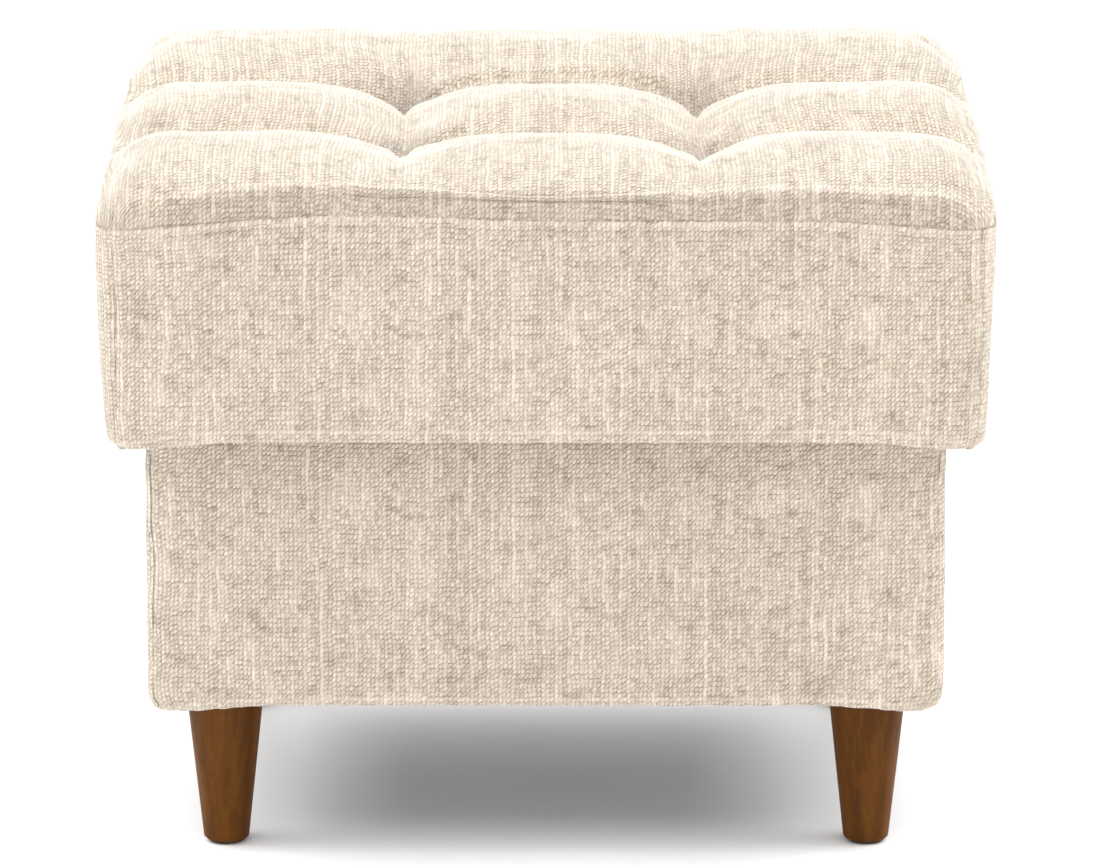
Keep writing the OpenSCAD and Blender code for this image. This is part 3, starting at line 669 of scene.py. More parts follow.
def side_cloth(name, path, profile, a, b, r, droop, quarters, swell, seed, top_seam, hem):
    """One border or cover. The face is the carried profile pushed out along its normal by its swell
    and folds, and pulled in at its seams. Every ridge or dip is a height times a bell of the
    distance from its line over its half width. The cloth's back follows the plain profile."""
    plain = turned(carry(path, profile, a, b, r, droop), quarters)
    normal = grid_normals(plain)
    along = unit(np.gradient(plain, axis=1))
    tier = 4 if top_seam else 0
    start = seam_wander(plain[..., 2], tier + (quarters - 1) % 4) * smooth(1 - (path - path[0]) / 45)
    end = seam_wander(plain[..., 2], tier + quarters) * smooth(1 - (path[-1] - path) / 45)
    plain = plain + along * (start + end)[..., None]
    run_v = run_length(plain, 0)
    run_v = run_v - run_v[:1]
    run_u = np.broadcast_to(path[None], run_v.shape)
    to_end = path[-1] - np.abs(run_u)
    face = (profile[:, 1] > Z_BASE + 1) & (profile[:, 0] < 5.5)
    on_face = face[:, None] * np.ones_like(run_u)
    high, low = profile[face, 1].max(), profile[face, 1].min()
    level = np.clip((high - profile[:, 1]) / (high - low), 0, 1)[:, None]
    pucker = 0.5 * soft_noise(run_u, run_v, 8, seed) + 0.35 * soft_noise(run_u, run_v, 15, seed + 1)
    push = swell * 4 * level * (1 - level) * smooth(to_end / 40)
    for k, (height, cell) in enumerate(SIDE_LUMPS):
        push = push + height * soft_noise(run_u, run_v, cell, seed + 2 + k)
    depth = 0.8 if top_seam else 0.5
    push = push + depth * (0.5 * pucker - 0.8) * bell(to_end, SEAM_HALF)
    push = push + depth * 0.6 * bell(to_end - SEAM_SHOULDER, 2.4)
    push = push + 0.6 * pucker * bell(to_end, 13)
    marks = 0.7 * depth * bell(to_end, 1.2)
    if top_seam:
        beads = 1 + 0.3 * soft_noise(run_u, run_v, 5, seed + 5)
        beads = beads + 0.3 * soft_noise(run_u, run_v, 34, seed + 7)
        ridge = RIDGE_HEIGHT * beads * bell(run_v - RIDGE_PLACE, RIDGE_HALF) - 0.7 * bell(run_v - 6.4, 1.7)
        push = push - 1.0 * bell(run_v, 1.1) + ridge * (0.15 + 0.85 * smooth((to_end - 8) / 45))
        push = push + 0.5 * pucker * bell(run_v, 12)
        marks = np.maximum(marks, bell(run_v, 1.2) * smooth(to_end / 90))
        # Painted highlight: the seam's bead gets negative marks, so its crown is painted paler.
        marks = marks - 0.5 * beads * bell(run_v - RIDGE_PLACE, 1.5)
    from_hem = run_v - (run_v[(profile[:, 1] > low + 0.01).sum() - 1][None] - hem)
    hem_fold = HEM_RIDGE * bell(from_hem, HEM_HALF) - HEM_DIP * bell(from_hem + 3.2, HEM_HALF)
    push = push + on_face * hem_fold
    # Painted highlight: the hem's ridge gets negative marks, so it is painted paler.
    marks = marks - 0.7 * on_face * bell(from_hem, 1.4)
    push = push * np.where(on_face > 0, 1, TUCKED_SHARE)
    push = push + 0.5 * soft_noise(run_u, run_v, 5.5, seed + 6) * bell(from_hem - hem - 2, 5)
    outer = plain + normal * push[..., None]
    if top_seam:
        lift = seam_wave(outer[..., 0], outer[..., 1]) * (1 - smooth(run_v / 40))
        outer[..., 2] += lift
        plain[..., 2] += lift
    inner = plain - normal * CLOTH
    uv = np.stack([run_u, -run_v], 2)
    return shell(name, outer, inner, uv, marks)


# %% Make the seat's border and the base's cover
def four_cloths(cloth, a, b, r, turn_in, profile, droop, seed, **sewing):
    """The front, right, back and left cloth round a box, in this order, by the names of their sides."""
    made = {}
    for quarters, side in enumerate(("front", "right", "back", "left")):
        wraps = side in ("right", "left")
        half, out = (b, a) if wraps else (a, b)
        made[side] = side_cloth(
            f"{cloth}_{side}", side_path(half, r, wraps, turn_in), profile, half, out, r, droop, quarters,
            seed=seed + 10 * quarters, **sewing,
        )
    return made


seat_cloths = four_cloths(
    "seat_cloth", SEAT_A, SEAT_B, SEAT_CORNER, SEAT_SEAM_TURN, seat_profile(), SEAT_DROOP, 20,
    swell=1.6, top_seam=True, hem=4.5,
)
base_cloths = four_cloths(
    "base_cloth", BASE_A, BASE_B, BASE_CORNER, BASE_SEAM_TURN, base_profile(), BASE_DROOP, 70,
    swell=0.8, top_seam=False, hem=3.5,
)
print("side cloths:", [piece.name for piece in (*seat_cloths.values(), *base_cloths.values())])

# %% [markdown]
# ## Foam, wadding and thin cloths
# Inside the seat a block of foam is wrapped in wadding, and more wadding lies round the wooden base.
# They hardly show, but they are there, as in the real pouf. Thin black cloth closes the seat and the
# base from below, and a plain woven lining covers the inside of the storage space, which shows when the
# seat is lifted off.

# %% Rings for the soft blocks
def plan_ring(a, b, r, count=12, side=14):
    """Points round a rectangle with round corners, anticlockwise from the back end of its right
    side. Each corner is a quarter circle of count points, and each straight side is cut into side
    steps."""
    turn = np.radians(np.linspace(0, 90, count))
    arc = np.stack([r * np.cos(turn), r * np.sin(turn), 0 * turn], 1)
    corners = np.concatenate([
        turned(arc, k)[:, :2] + [sx * (a - r), sy * (b - r)]
        for k, (sx, sy) in enumerate(((1, 1), (-1, 1), (-1, -1), (1, -1)))
    ])
    ahead = np.roll(corners, -1, axis=0)
    gap = np.linalg.norm(ahead - corners, axis=1)
    shares = [np.linspace(0, 1, side if g > 3 * r else 1, endpoint=False)[:, None] for g in gap]
    return np.concatenate([p + (q - p) * t for p, q, t in zip(corners, ahead, shares)])


def ring_level(a, b, r, z, seed, uneven):
    """One ring of a soft block at height z, with a slight unevenness in and out."""
    ring = plan_ring(a, b, r)
    bumps = uneven * soft_noise(ring[:, 0] + ring[:, 1], z + 0 * ring[:, 0], 30, seed)
    ring = ring + unit(ring) * bumps[:, None]
    return np.column_stack([ring, np.full(len(ring), z)])


def soft_block(name, a, b, r, low, high, edge, seed):
    """A block with softly rounded top and bottom edges: the inset at each level is a quarter circle."""
    turn = np.radians(np.linspace(0, 90, 6))
    inset = edge * (1 - np.sin(turn))
    rise = edge * (1 - np.cos(turn))
    levels = [(i, low + h) for i, h in zip(inset, rise)]
    levels += [(0, z) for z in np.linspace(low + edge, high - edge, 7)[1:-1]]
    levels += [(i, high - h) for i, h in zip(inset[::-1], rise[::-1])]
    return ring_stack(name, np.array([ring_level(a - i, b - i, r, z, seed, -0.4) for i, z in levels]))


def soft_band(name, levels_out, levels_in, seed):
    """A closed band of wadding: its outer rings go up and its inner rings come down again."""
    outside = [ring_level(a, b, r, z, seed, 0.25) for a, b, r, z in levels_out]
    inside = [ring_level(a, b, r, z, seed, 0.0) for a, b, r, z in levels_in]
    return ring_stack(name, np.array(outside + inside), closed_band=True)


# %% Make the foam and the wadding
BOARD_TOP = Z_UNDER + 17.3
FOAM_INSET = 10.5
WRAP_HIGH, WRAP_LOW = 0.1, 0.93
WRAP_OUT, WRAP_IN = 4.6, 9.9
PAD_LOW, PAD_HIGH = 106.0, 273.0
PAD_OUT, PAD_IN = 2.9, 7.6
foam_core = soft_block(
    "foam_core", SEAT_A - FOAM_INSET, SEAT_B - FOAM_INSET, SEAT_CORNER - 10, BOARD_TOP + LAYER_GAP,
    Z_SEAM - PAD_BELOW_SEAM - 0.2, 4, 9,
)


def wrap_level(down, inset, r):
    """Half sizes, corner radius and height of the seat's wadding, by the share of the way down."""
    return SEAT_A - inset, SEAT_B - inset, r, Z_SEAM - down * (Z_SEAM - Z_UNDER - FOOT_GAP)


foam_wrap = soft_band(
    "foam_wrap",
    [wrap_level(down, SEAT_LEAN * down ** 1.5 + WRAP_OUT, SEAT_CORNER - 4)
     for down in np.linspace(WRAP_LOW, WRAP_HIGH, 8)],
    [wrap_level(down, WRAP_IN, SEAT_CORNER - 9.5) for down in (WRAP_HIGH, WRAP_LOW)],
    11,
)
base_padding = soft_band(
    "base_padding",
    [(BASE_A - PAD_OUT, BASE_B - PAD_OUT, BASE_CORNER - 2, z) for z in np.linspace(PAD_LOW, PAD_HIGH, 9)],
    [(BASE_A - PAD_IN, BASE_B - PAD_IN, 1.5, z) for z in (PAD_HIGH, PAD_LOW)],
    12,
)

# %% Make the two thin cloths that close the seat and the base from below
THIN = 0.6
OPEN_A = 205.0
OPEN_B = 157.0


def thin_cloth(name, a, b, r, z, sag, is_free, seed):
    """A thin cloth with shallow puckers. Its points fill the plan in squares, and it sags where
    nothing holds it."""
    lines = np.linspace(-1, 1, 91)
    x, y = np.meshgrid(lines * a, lines * b)
    x, y = rounded_plan(x, y, a, b, r)
    inset = np.minimum(a - np.abs(x), b - np.abs(y))
    puckers = soft_noise(x, y, 34, seed) * 0.6 + soft_noise(x + 0.4 * y, y * 0.5, 15, seed + 1) * 0.4
    height = z - sag * (0.55 + 0.45 * puckers) * is_free(x, y) * smooth(inset / 30)
    lower = np.stack([x, y, height], 2)
    return shell(name, lower, lower + [0, 0, THIN], np.stack([x, y], 2))


def free_of_base(x, y):
    """1 over the open storage space and 0 over the base's rim and its battens."""
    return smooth((OPEN_A - np.abs(x)) / 20) * smooth((OPEN_B - np.abs(y)) / 20)


def free_of_legs(x, y):
    """1 away from the legs and 0 where a leg presses on the cloth."""
    return smooth((np.hypot(np.abs(x) - LEG_X, np.abs(y) - LEG_Y) - 30) / 25)


seat_underside = thin_cloth("seat_underside", SEAT_A - 16, SEAT_B - 16, 4, Z_UNDER, 1.8, free_of_base, 14)
dust_cloth = thin_cloth("dust_cloth", BASE_A - 12.7, BASE_B - 12.7, 2, Z_BASE, 1.6, free_of_legs, 16)

# %% Make the lining of the storage space
STORE_A = 229.0
STORE_B = 181.0
STORE_FLOOR = 137.0
LINING_TOP = 276.8
LINING_BEND = 5.0


def lining_rings(offset, seed):
    """Rings of the lining, from its hem at the rim down the walls, round the bottom edge and in over
    the floor. offset is how far the face stands off the wood, and the walls have shallow vertical
    folds."""
    wall_a, wall_b = STORE_A - offset, STORE_B - offset
    floor = STORE_FLOOR + offset
    bend = floor + LINING_BEND
    turn = np.radians(np.linspace(0, 90, 6))
    levels = [(0.0, z) for z in np.linspace(LINING_TOP, bend, 16)]
    levels += [(LINING_BEND * (1 - math.cos(t)), bend - LINING_BEND * math.sin(t)) for t in turn[1:]]
    levels += [(i, floor) for i in np.linspace(12, 178, 16)]
    rings = []
    for inset, z in levels:
        ring = plan_ring(wall_a - inset, wall_b - inset, max(0.6, 4 - 0.02 * inset), 6, 30)
        run = ring[:, 0] * 0.9 + ring[:, 1]
        share = smooth((272 - z) / 40) * smooth((z - floor) / 12)
        fold = (0.9 + 0.9 * soft_noise(run, z * 0.3 + 0 * run, 17, seed)) * share
        ring = ring - unit(ring) * fold[:, None]
        lift = 0.8 * (1 + soft_noise(ring[:, 0], ring[:, 1], 38, seed + 1)) * smooth((inset - 12) / 20)
        rings.append(np.column_stack([ring, z + lift]))
    return np.array(rings)


back_rings, face_rings = (lining_rings(offset, 18) for offset in (0.0, 0.7))
storage_lining = ring_stack("storage_lining", np.concatenate([back_rings[::-1], face_rings]))
print("inside pieces:", [p.name for p in (foam_core, foam_wrap, base_padding, storage_lining)])

# %% [markdown]
# ## Finishes
# Finishes are built from nodes. A small helper adds a node, fills its inputs with numbers or with other
# nodes' outputs, and hands it back, so a finish reads as a short list of steps.

# %% Helpers for node trees
def set_inputs(tree, node, inputs):
    """Fills a node's inputs with numbers, or links them to other nodes' outputs."""
    for key, value in inputs.items():
        if isinstance(value, bpy.types.NodeSocket):
            tree.links.new(value, node.inputs[key])
        else:
            node.inputs[key].default_value = value


def add_node(tree, kind, inputs=None, **settings):
    """Adds a node, sets its properties and fills its inputs."""
    node = tree.nodes.new(kind)
    for key, value in settings.items():
        setattr(node, key, value)
    set_inputs(tree, node, inputs or {})
    return node


def calc(tree, operation, *values, clamp=False):
    """One step of arithmetic."""
    return add_node(
        tree, "ShaderNodeMath", dict(enumerate(values)), operation=operation, use_clamp=clamp
    ).outputs[0]


def ramp(tree, value, low, high, to_low=0.0, to_high=1.0):
    """A value moved from one range to another along an S-curve."""
    return add_node(
        tree, "ShaderNodeMapRange",
        {"Value": value, "From Min": low, "From Max": high, "To Min": to_low, "To Max": to_high},
        interpolation_type="SMOOTHSTEP",
    ).outputs[0]


def noise(tree, vector, scale, detail=2.0, roughness=0.5):
    """Grey noise, about 0.5 on average."""
    return add_node(
        tree, "ShaderNodeTexNoise",
        {"Vector": vector, "Scale": scale, "Detail": detail, "Roughness": roughness},
    ).outputs["Fac"]


def stretched(tree, vector, x, y, z):
    """Coordinates scaled by a factor in each direction."""
    return add_node(
        tree, "ShaderNodeVectorMath", {0: vector, 1: (x, y, z)}, operation="MULTIPLY"
    ).outputs[0]


def scaled(tree, vector, factor):
    """A vector times one number."""
    return add_node(
        tree, "ShaderNodeVectorMath", {0: vector, "Scale": factor}, operation="SCALE"
    ).outputs[0]


def mix_colour(tree, factor, first, second):
    """A colour between two, by a factor from 0 to 1."""
    return add_node(tree, "ShaderNodeMix", {0: factor, 6: first, 7: second}, data_type="RGBA").outputs[2]


def srgb(red, green, blue):
    """A colour given as it is read off a screen, 0 to 255, in the linear values that Blender counts
    in."""
    share = np.array([red, green, blue]) / 255
    linear = np.where(share <= 0.04045, share / 12.92, ((share + 0.055) / 1.055) ** 2.4)
    return (*(float(v) for v in linear), 1.0)


def relief_normal(tree, height, distance, **settings):
    """A normal bent by the slope of a height."""
    return add_node(tree, "ShaderNodeBump", {"Height": height, "Distance": distance}, **settings).outputs[0]


def new_group(name, numbers, outputs):
    """A node group with a place and named numbers as its inputs. Returns its tree, its input node
    and its output node."""
    tree = bpy.data.node_groups.new(name, "ShaderNodeTree")
    tree.interface.new_socket(name="Vector", in_out="INPUT", socket_type="NodeSocketVector")
    for socket, value in numbers.items():
        made = tree.interface.new_socket(name=socket, in_out="INPUT", socket_type="NodeSocketFloat")
        made.default_value = value
    for socket in outputs:
        tree.interface.new_socket(name=socket, in_out="OUTPUT", socket_type="NodeSocketFloat")
    return tree, tree.nodes.new("NodeGroupInput"), tree.nodes.new("NodeGroupOutput")


def new_material(name):
    """A material with an empty tree, a Principled shader and its output."""
    material = bpy.data.materials.new(name)
    material.use_nodes = True
    tree = material.node_tree
    tree.nodes.clear()
    shader = tree.nodes.new("ShaderNodeBsdfPrincipled")
    output = tree.nodes.new("ShaderNodeOutputMaterial")
    tree.links.new(shader.outputs[0], output.inputs[0])
    return material, tree, shader


# %% [markdown]
# ### Chenille weave
# Chenille is woven from thick fuzzy yarns. Each upright yarn shows as a row of soft beads where it
# comes over the cross yarns, between three and four to the centimetre. Some upright yarns are thicker
# and paler for a few centimetres, which makes light streaks, and where the nap lies the other way the
# cloth looks darker. The group works on the flat cloth's own coordinates, so the weave follows every
# fold.

# %% The weave group
def build_weave():
    """Shade and height of the weave. A cell holds one bead. The bead is one minus the square of the
    place across the yarn, times an S-curve of the same along it, and it leans, since its middle
    shifts with the place along. Each bead also sits a little to one side or the other, and each
    column is a little paler or darker."""
    tree, given, result = new_group(
        "chenille_weave", {"Yarns per Metre": 300.0, "Wander": 1.0, "Slubs": 1.0, "Nap": 1.0, "Fuzz": 1.0},
        ["Shade", "Height"],
    )
    even = scaled(tree, given.outputs["Vector"], given.outputs["Yarns per Metre"])
    yarns = stretched(tree, even, 1.16, 1.0, 1.0)
    bent = yarns
    for scale, amount in ((0.14, 1.5), (0.6, 0.55)):
        drift = add_node(tree, "ShaderNodeTexNoise", {"Vector": yarns, "Scale": scale, "Detail": 1.0})
        centred = add_node(
            tree, "ShaderNodeVectorMath", {0: drift.outputs["Color"], 1: (0.5, 0.5, 0.5)},
            operation="SUBTRACT",
        ).outputs[0]
        shift = scaled(tree, centred, calc(tree, "MULTIPLY", given.outputs["Wander"], amount))
        shift = stretched(tree, shift, 0.8, 0.22, 0.0)
        bent = add_node(tree, "ShaderNodeVectorMath", {0: bent, 1: shift}, operation="ADD").outputs[0]
    parts = add_node(tree, "ShaderNodeSeparateXYZ", {0: bent})
    u, v = parts.outputs[0], parts.outputs[1]

    def place_in(value):
        """Place within a cell, from -1 to 1."""
        return calc(tree, "MULTIPLY_ADD", calc(tree, "FRACT", value), 2.0, -1.0)

    def arch(place):
        """One minus the square of the place: 1 in the middle of a cell and 0 at its edges."""
        return calc(tree, "SUBTRACT", 1.0, calc(tree, "MULTIPLY", place, place))

    def luck_of(**place):
        """A random number from 0 to 1 for a column's number W, or for a cell's Vector."""
        kind = "1D" if "W" in place else "2D"
        return add_node(tree, "ShaderNodeTexWhiteNoise", place, noise_dimensions=kind).outputs["Value"]

    def drawn_out(first, first_scale, second, second_scale, detail):
        """Noise over two places, which changes slowly in the direction with the smaller scale."""
        place = add_node(tree, "ShaderNodeCombineXYZ", {
            0: calc(tree, "MULTIPLY", first, first_scale), 1: calc(tree, "MULTIPLY", second, second_scale),
        }).outputs[0]
        return noise(tree, place, 1.0, detail)

    column = calc(tree, "FLOOR", u)
    chance = luck_of(W=column)
    raised = calc(tree, "MULTIPLY_ADD", chance, 0.4, v)
    row = calc(tree, "FLOOR", raised)
    cell = add_node(tree, "ShaderNodeCombineXYZ", {0: column, 1: row}).outputs[0]
    luck = luck_of(Vector=cell)
    across, along = place_in(u), place_in(raised)
    leaning = calc(tree, "MULTIPLY_ADD", along, -0.6, across)
    off_luck = calc(tree, "SUBTRACT", luck, 0.5)
    leaning = calc(tree, "MULTIPLY_ADD", off_luck, 0.6, leaning)
    bead = calc(tree, "MAXIMUM", arch(leaning), 0.0)
    bead = calc(tree, "MULTIPLY", bead, ramp(tree, arch(along), 0.0, 0.8, 0.32, 1.0))

    slub = ramp(tree, drawn_out(column, 7.31, v, 0.07, 0.0), 0.5, 0.7)
    slub = calc(tree, "MULTIPLY", slub, given.outputs["Slubs"])
    thick = calc(tree, "MULTIPLY", slub, calc(tree, "MULTIPLY", arch(across), 0.65))
    bead = calc(tree, "MAXIMUM", bead, thick)
    gap = ramp(tree, drawn_out(u, 0.26, calc(tree, "FLOOR", v), 5.73, 1.0), 0.52, 0.66)
    gap = calc(tree, "MULTIPLY", gap, given.outputs["Slubs"])
    gap = calc(tree, "MULTIPLY", gap, calc(tree, "SUBTRACT", 1.0, arch(along)))

    patch = ramp(tree, noise(tree, stretched(tree, yarns, 0.7, 1.3, 1.0), 0.22, 2.0, 0.5), 0.52, 0.76)
    broad = calc(tree, "SUBTRACT", noise(tree, yarns, 0.06, 2.0, 0.6), 0.5)
    nap = calc(tree, "MULTIPLY_ADD", broad, 1.2, patch)
    nap = calc(tree, "MULTIPLY", nap, given.outputs["Nap"])
    hairs = calc(tree, "SUBTRACT", noise(tree, yarns, 2.2, 3.0, 0.75), 0.5)
    fuzz = calc(tree, "MULTIPLY", hairs, given.outputs["Fuzz"])

    shade = calc(tree, "MULTIPLY_ADD", bead, 0.41, 0.265)
    off_chance = calc(tree, "SUBTRACT", chance, 0.5)
    # Painted shade: the across weight makes the right flank of each bead darker and its left flank paler,
    # as if lit from the left.
    for part, weight in (
        (off_luck, 0.26), (off_chance, 0.14), (across, -0.12), (slub, 0.07), (gap, -0.26), (nap, -0.22),
    ):
        shade = calc(tree, "MULTIPLY_ADD", part, weight, shade)
    shade = calc(tree, "MULTIPLY_ADD", fuzz, 1.25, shade, clamp=True)
    height = calc(tree, "MULTIPLY_ADD", slub, 0.1, calc(tree, "MULTIPLY_ADD", fuzz, 0.5, bead))
    set_inputs(tree, result, {"Shade": shade, "Height": height})
    return tree


weave_group = build_weave()
print("weave group inputs:", [s.name for s in weave_group.interface.items_tree if s.in_out == "INPUT"])

# %% Cloth finishes
PAINTED_SHEEN_COLOUR = (0.93, 0.88, 0.81, 1.0)


def cloth_material(name, dark, light, yarns, relief, values, sheen, roughness, fuzz=0.0, seam_colour=None):
    """A woven cloth. Shade picks a colour between the shadow between the yarns and their crowns, and
    height makes the relief. Seams are a little darker. Ridges are paler, a painted highlight, and the
    tufts' hollows and the strip under the front lip get painted shade. Seen edge on, the cloth pales
    towards a painted sheen, as if standing fibres caught the light."""
    material, tree, shader = new_material(name)
    place = add_node(tree, "ShaderNodeUVMap", uv_map="cloth").outputs[0]
    weave = add_node(
        tree, "ShaderNodeGroup", {"Vector": place, "Yarns per Metre": yarns, **values},
        node_tree=weave_group,
    )
    colour = mix_colour(tree, weave.outputs["Shade"], dark, light)
    if seam_colour:
        seam = add_node(tree, "ShaderNodeAttribute", attribute_name="seam").outputs["Fac"]
        holes = ramp(tree, noise(tree, place, 260.0, 1.0), 0.45, 0.65, 0.0, 0.45)
        sewn = calc(tree, "MULTIPLY", ramp(tree, seam, 0.0, 1.0), holes)
        colour = mix_colour(tree, sewn, colour, seam_colour)
        # Painted highlight: negative marks, on the crowns of ridges, mix the colour towards the light one.
        colour = mix_colour(tree, ramp(tree, seam, 0.0, -1.0, 0.0, 0.45), colour, light)
        # Painted shade: round the tufts and on the strip under the front lip, this attribute darkens the
        # colour to three quarters.
        painted_shade = add_node(tree, "ShaderNodeAttribute", attribute_name="painted_shade").outputs["Fac"]
        colour = mix_colour(tree, ramp(tree, painted_shade, 0.0, 1.0), colour, scaled(tree, colour, 0.74))
    # Painted sheen: where the cloth is seen edge on, its colour mixes towards a pale cream, by up to fuzz,
    # as if standing fibres caught the light.
    edge_on = add_node(tree, "ShaderNodeLayerWeight", {"Blend": 0.5}).outputs["Facing"]
    colour = mix_colour(tree, ramp(tree, edge_on, 0.7, 1.0, 0.0, fuzz), colour, PAINTED_SHEEN_COLOUR)
    set_inputs(tree, shader, {
        "Base Color": colour, "Normal": relief_normal(tree, weave.outputs["Height"], relief),
        "Roughness": roughness, "Specular IOR Level": 0.2, "Sheen Weight": sheen, "Sheen Roughness": 0.45,
    })
    return material


chenille = cloth_material(
    "cream_chenille", srgb(150, 135, 117), srgb(237, 224, 208), 320.0, 0.0007,
    {"Wander": 1.0, "Slubs": 1.0, "Nap": 1.0, "Fuzz": 1.0}, 0.4, 0.95,
    fuzz=0.3, seam_colour=srgb(176, 161, 143),
)
lining_cloth = cloth_material(
    "lining_cotton", srgb(176, 168, 154), srgb(214, 207, 194), 1300.0, 0.00012,
    {"Wander": 0.3, "Slubs": 0.4, "Nap": 0.2, "Fuzz": 0.4}, 0.05, 0.9,
)
dark_cloth = cloth_material(
    "black_underlining", srgb(34, 33, 32), srgb(62, 60, 57), 900.0, 0.0001,
    {"Wander": 1.5, "Slubs": 0.2, "Nap": 0.5, "Fuzz": 1.2}, 0.05, 0.85,
)

# %% [markdown]
# ### Wood
# The legs are stained walnut brown and lacquered with a satin finish. The panels, blocks and battens
# are bare pine, and the boards are plywood. All share one grain group that works on solid coordinates
# with the grain along Z. A Mapping node turns it for pieces whose grain lies along X or Y.

# %% The grain group
def build_grain():
    """Tone and pores of wood with its grain along Z: wide rings, fine streaks, and short dark pores."""
    tree, given, result = new_group(
        "wood_grain", {"Rings per Metre": 90.0, "Streaks per Metre": 500.0}, ["Tone", "Pores"]
    )
    place = given.outputs["Vector"]
    slow = stretched(tree, place, 9.0, 9.0, 2.5)
    bend = add_node(tree, "ShaderNodeTexNoise", {"Vector": slow, "Scale": 1.0})
    shifted = scaled(tree, bend.outputs["Color"], 0.03)
    bent = add_node(tree, "ShaderNodeVectorMath", {0: place, 1: shifted}, operation="ADD").outputs[0]
    wide = scaled(tree, stretched(tree, bent, 1.0, 1.0, 0.045), given.outputs["Rings per Metre"])
    rings = noise(tree, wide, 1.0, 2.0, 0.55)
    fine = scaled(tree, stretched(tree, bent, 1.0, 1.0, 0.02), given.outputs["Streaks per Metre"])
    streaks = noise(tree, fine, 1.0, 3.0, 0.6)
    tone = calc(tree, "ADD", calc(tree, "MULTIPLY", rings, 0.65), calc(tree, "MULTIPLY", streaks, 0.35))
    pores = ramp(tree, noise(tree, stretched(tree, place, 1900.0, 1900.0, 90.0), 1.0, 1.0), 0.62, 0.74)
    set_inputs(tree, result, {"Tone": ramp(tree, tone, 0.3, 0.7), "Pores": pores})
    return tree


grain_group = build_grain()


def wood_material(name, dark, light, pore_colour, turn, rings, roughness, plies=0.0):
    """A wood. turn brings the grain, along Z in the group, to the piece's own direction. Plywood
    also shows its plies as bands of tone up its edges."""
    material, tree, shader = new_material(name)
    place = add_node(tree, "ShaderNodeTexCoord").outputs["Object"]
    solid = add_node(tree, "ShaderNodeMapping", {"Vector": place, "Rotation": turn}).outputs[0]
    grain = add_node(
        tree, "ShaderNodeGroup", {"Vector": solid, "Rings per Metre": rings}, node_tree=grain_group
    )
    tone, pores = grain.outputs
    colour = mix_colour(tree, tone, dark, light)
    if plies:
        height = add_node(tree, "ShaderNodeSeparateXYZ", {0: place}).outputs[2]
        band = ramp(tree, calc(tree, "FRACT", calc(tree, "MULTIPLY", height, plies)), 0.35, 0.65, 0.0, 0.35)
        colour = mix_colour(tree, band, colour, dark)
    colour = mix_colour(tree, calc(tree, "MULTIPLY", pores, 0.6), colour, pore_colour)
    set_inputs(tree, shader, {
        "Base Color": colour, "Normal": relief_normal(tree, pores, 0.00006, invert=True),
        "Roughness": ramp(tree, tone, 0.0, 1.0, roughness + 0.06, roughness), "Specular IOR Level": 0.1,
    })
    return material


ALONG_X, ALONG_Y, ALONG_Z = (0, math.pi / 2, 0), (math.pi / 2, 0, 0), (0, 0, 0)
PINE = srgb(196, 152, 98), srgb(228, 192, 140), srgb(170, 124, 76)
walnut = wood_material(
    "walnut_stain", srgb(75, 43, 9), srgb(103, 61, 16), srgb(54, 30, 7), ALONG_Z, 110.0, 0.5
)
pine_along_x = wood_material("pine_along_x", *PINE, ALONG_X, 90.0, 0.62)
pine_along_y = wood_material("pine_along_y", *PINE, ALONG_Y, 90.0, 0.62)
birch_ply = wood_material(
    "birch_plywood", srgb(188, 148, 100), srgb(218, 184, 138), srgb(160, 120, 78), ALONG_X, 70.0, 0.6,
    plies=700.0,
)

# %% [markdown]
# ### Foam, wadding, thread, felt and steel
# These plain materials share one speckle group, soft lumps and fine grains, each with its own sizes and
# colours.

# %% The speckle group and the plain materials
def build_speckle():
    """Lumps and grains: two noises, one coarse and one fine, with sizes given in counts per metre."""
    tree, given, result = new_group(
        "speckle", {"Lumps per Metre": 60.0, "Grains per Metre": 900.0}, ["Lumps", "Grains"]
    )
    for socket in ("Lumps", "Grains"):
        place = scaled(tree, given.outputs["Vector"], given.outputs[socket + " per Metre"])
        set_inputs(tree, result, {socket: ramp(tree, noise(tree, place, 1.0, 3.0, 0.6), 0.3, 0.7)})
    return tree


speckle_group = build_speckle()


def plain_material(name, dark, light, lumps, grains, relief, roughness, metallic=0.0):
    """A plain material: lumps and grains pick its colour, lumps its roughness, and grains its
    relief."""
    material, tree, shader = new_material(name)
    place = add_node(tree, "ShaderNodeTexCoord").outputs["Object"]
    speckle = add_node(
        tree, "ShaderNodeGroup", {"Vector": place, "Lumps per Metre": lumps, "Grains per Metre": grains},
        node_tree=speckle_group,
    )
    lump, grain = speckle.outputs
    both = calc(tree, "MULTIPLY_ADD", lump, 0.4, calc(tree, "MULTIPLY", grain, 0.6))
    set_inputs(tree, shader, {
        "Base Color": mix_colour(tree, both, dark, light), "Normal": relief_normal(tree, grain, relief),
        "Roughness": ramp(tree, lump, 0.0, 1.0, roughness, roughness + 0.1), "Metallic": metallic,
    })
    return material


foam, wadding, twine, felt, steel = (
    plain_material(name, srgb(*dark), srgb(*light), *numbers) for name, dark, light, *numbers in (
        ("seat_foam", (226, 212, 160), (244, 234, 196), 90.0, 1400.0, 0.0003, 0.85),
        ("polyester_wadding", (226, 225, 220), (248, 248, 245), 120.0, 1100.0, 0.0006, 0.9),
        ("tufting_twine", (214, 206, 188), (238, 232, 218), 300.0, 2600.0, 0.0002, 0.8),
        ("grey_felt", (70, 66, 61), (104, 99, 92), 200.0, 2400.0, 0.0002, 0.9),
        ("zinc_steel", (150, 154, 158), (196, 199, 202), 250.0, 3000.0, 0.00002, 0.32, 1.0),
    )
)
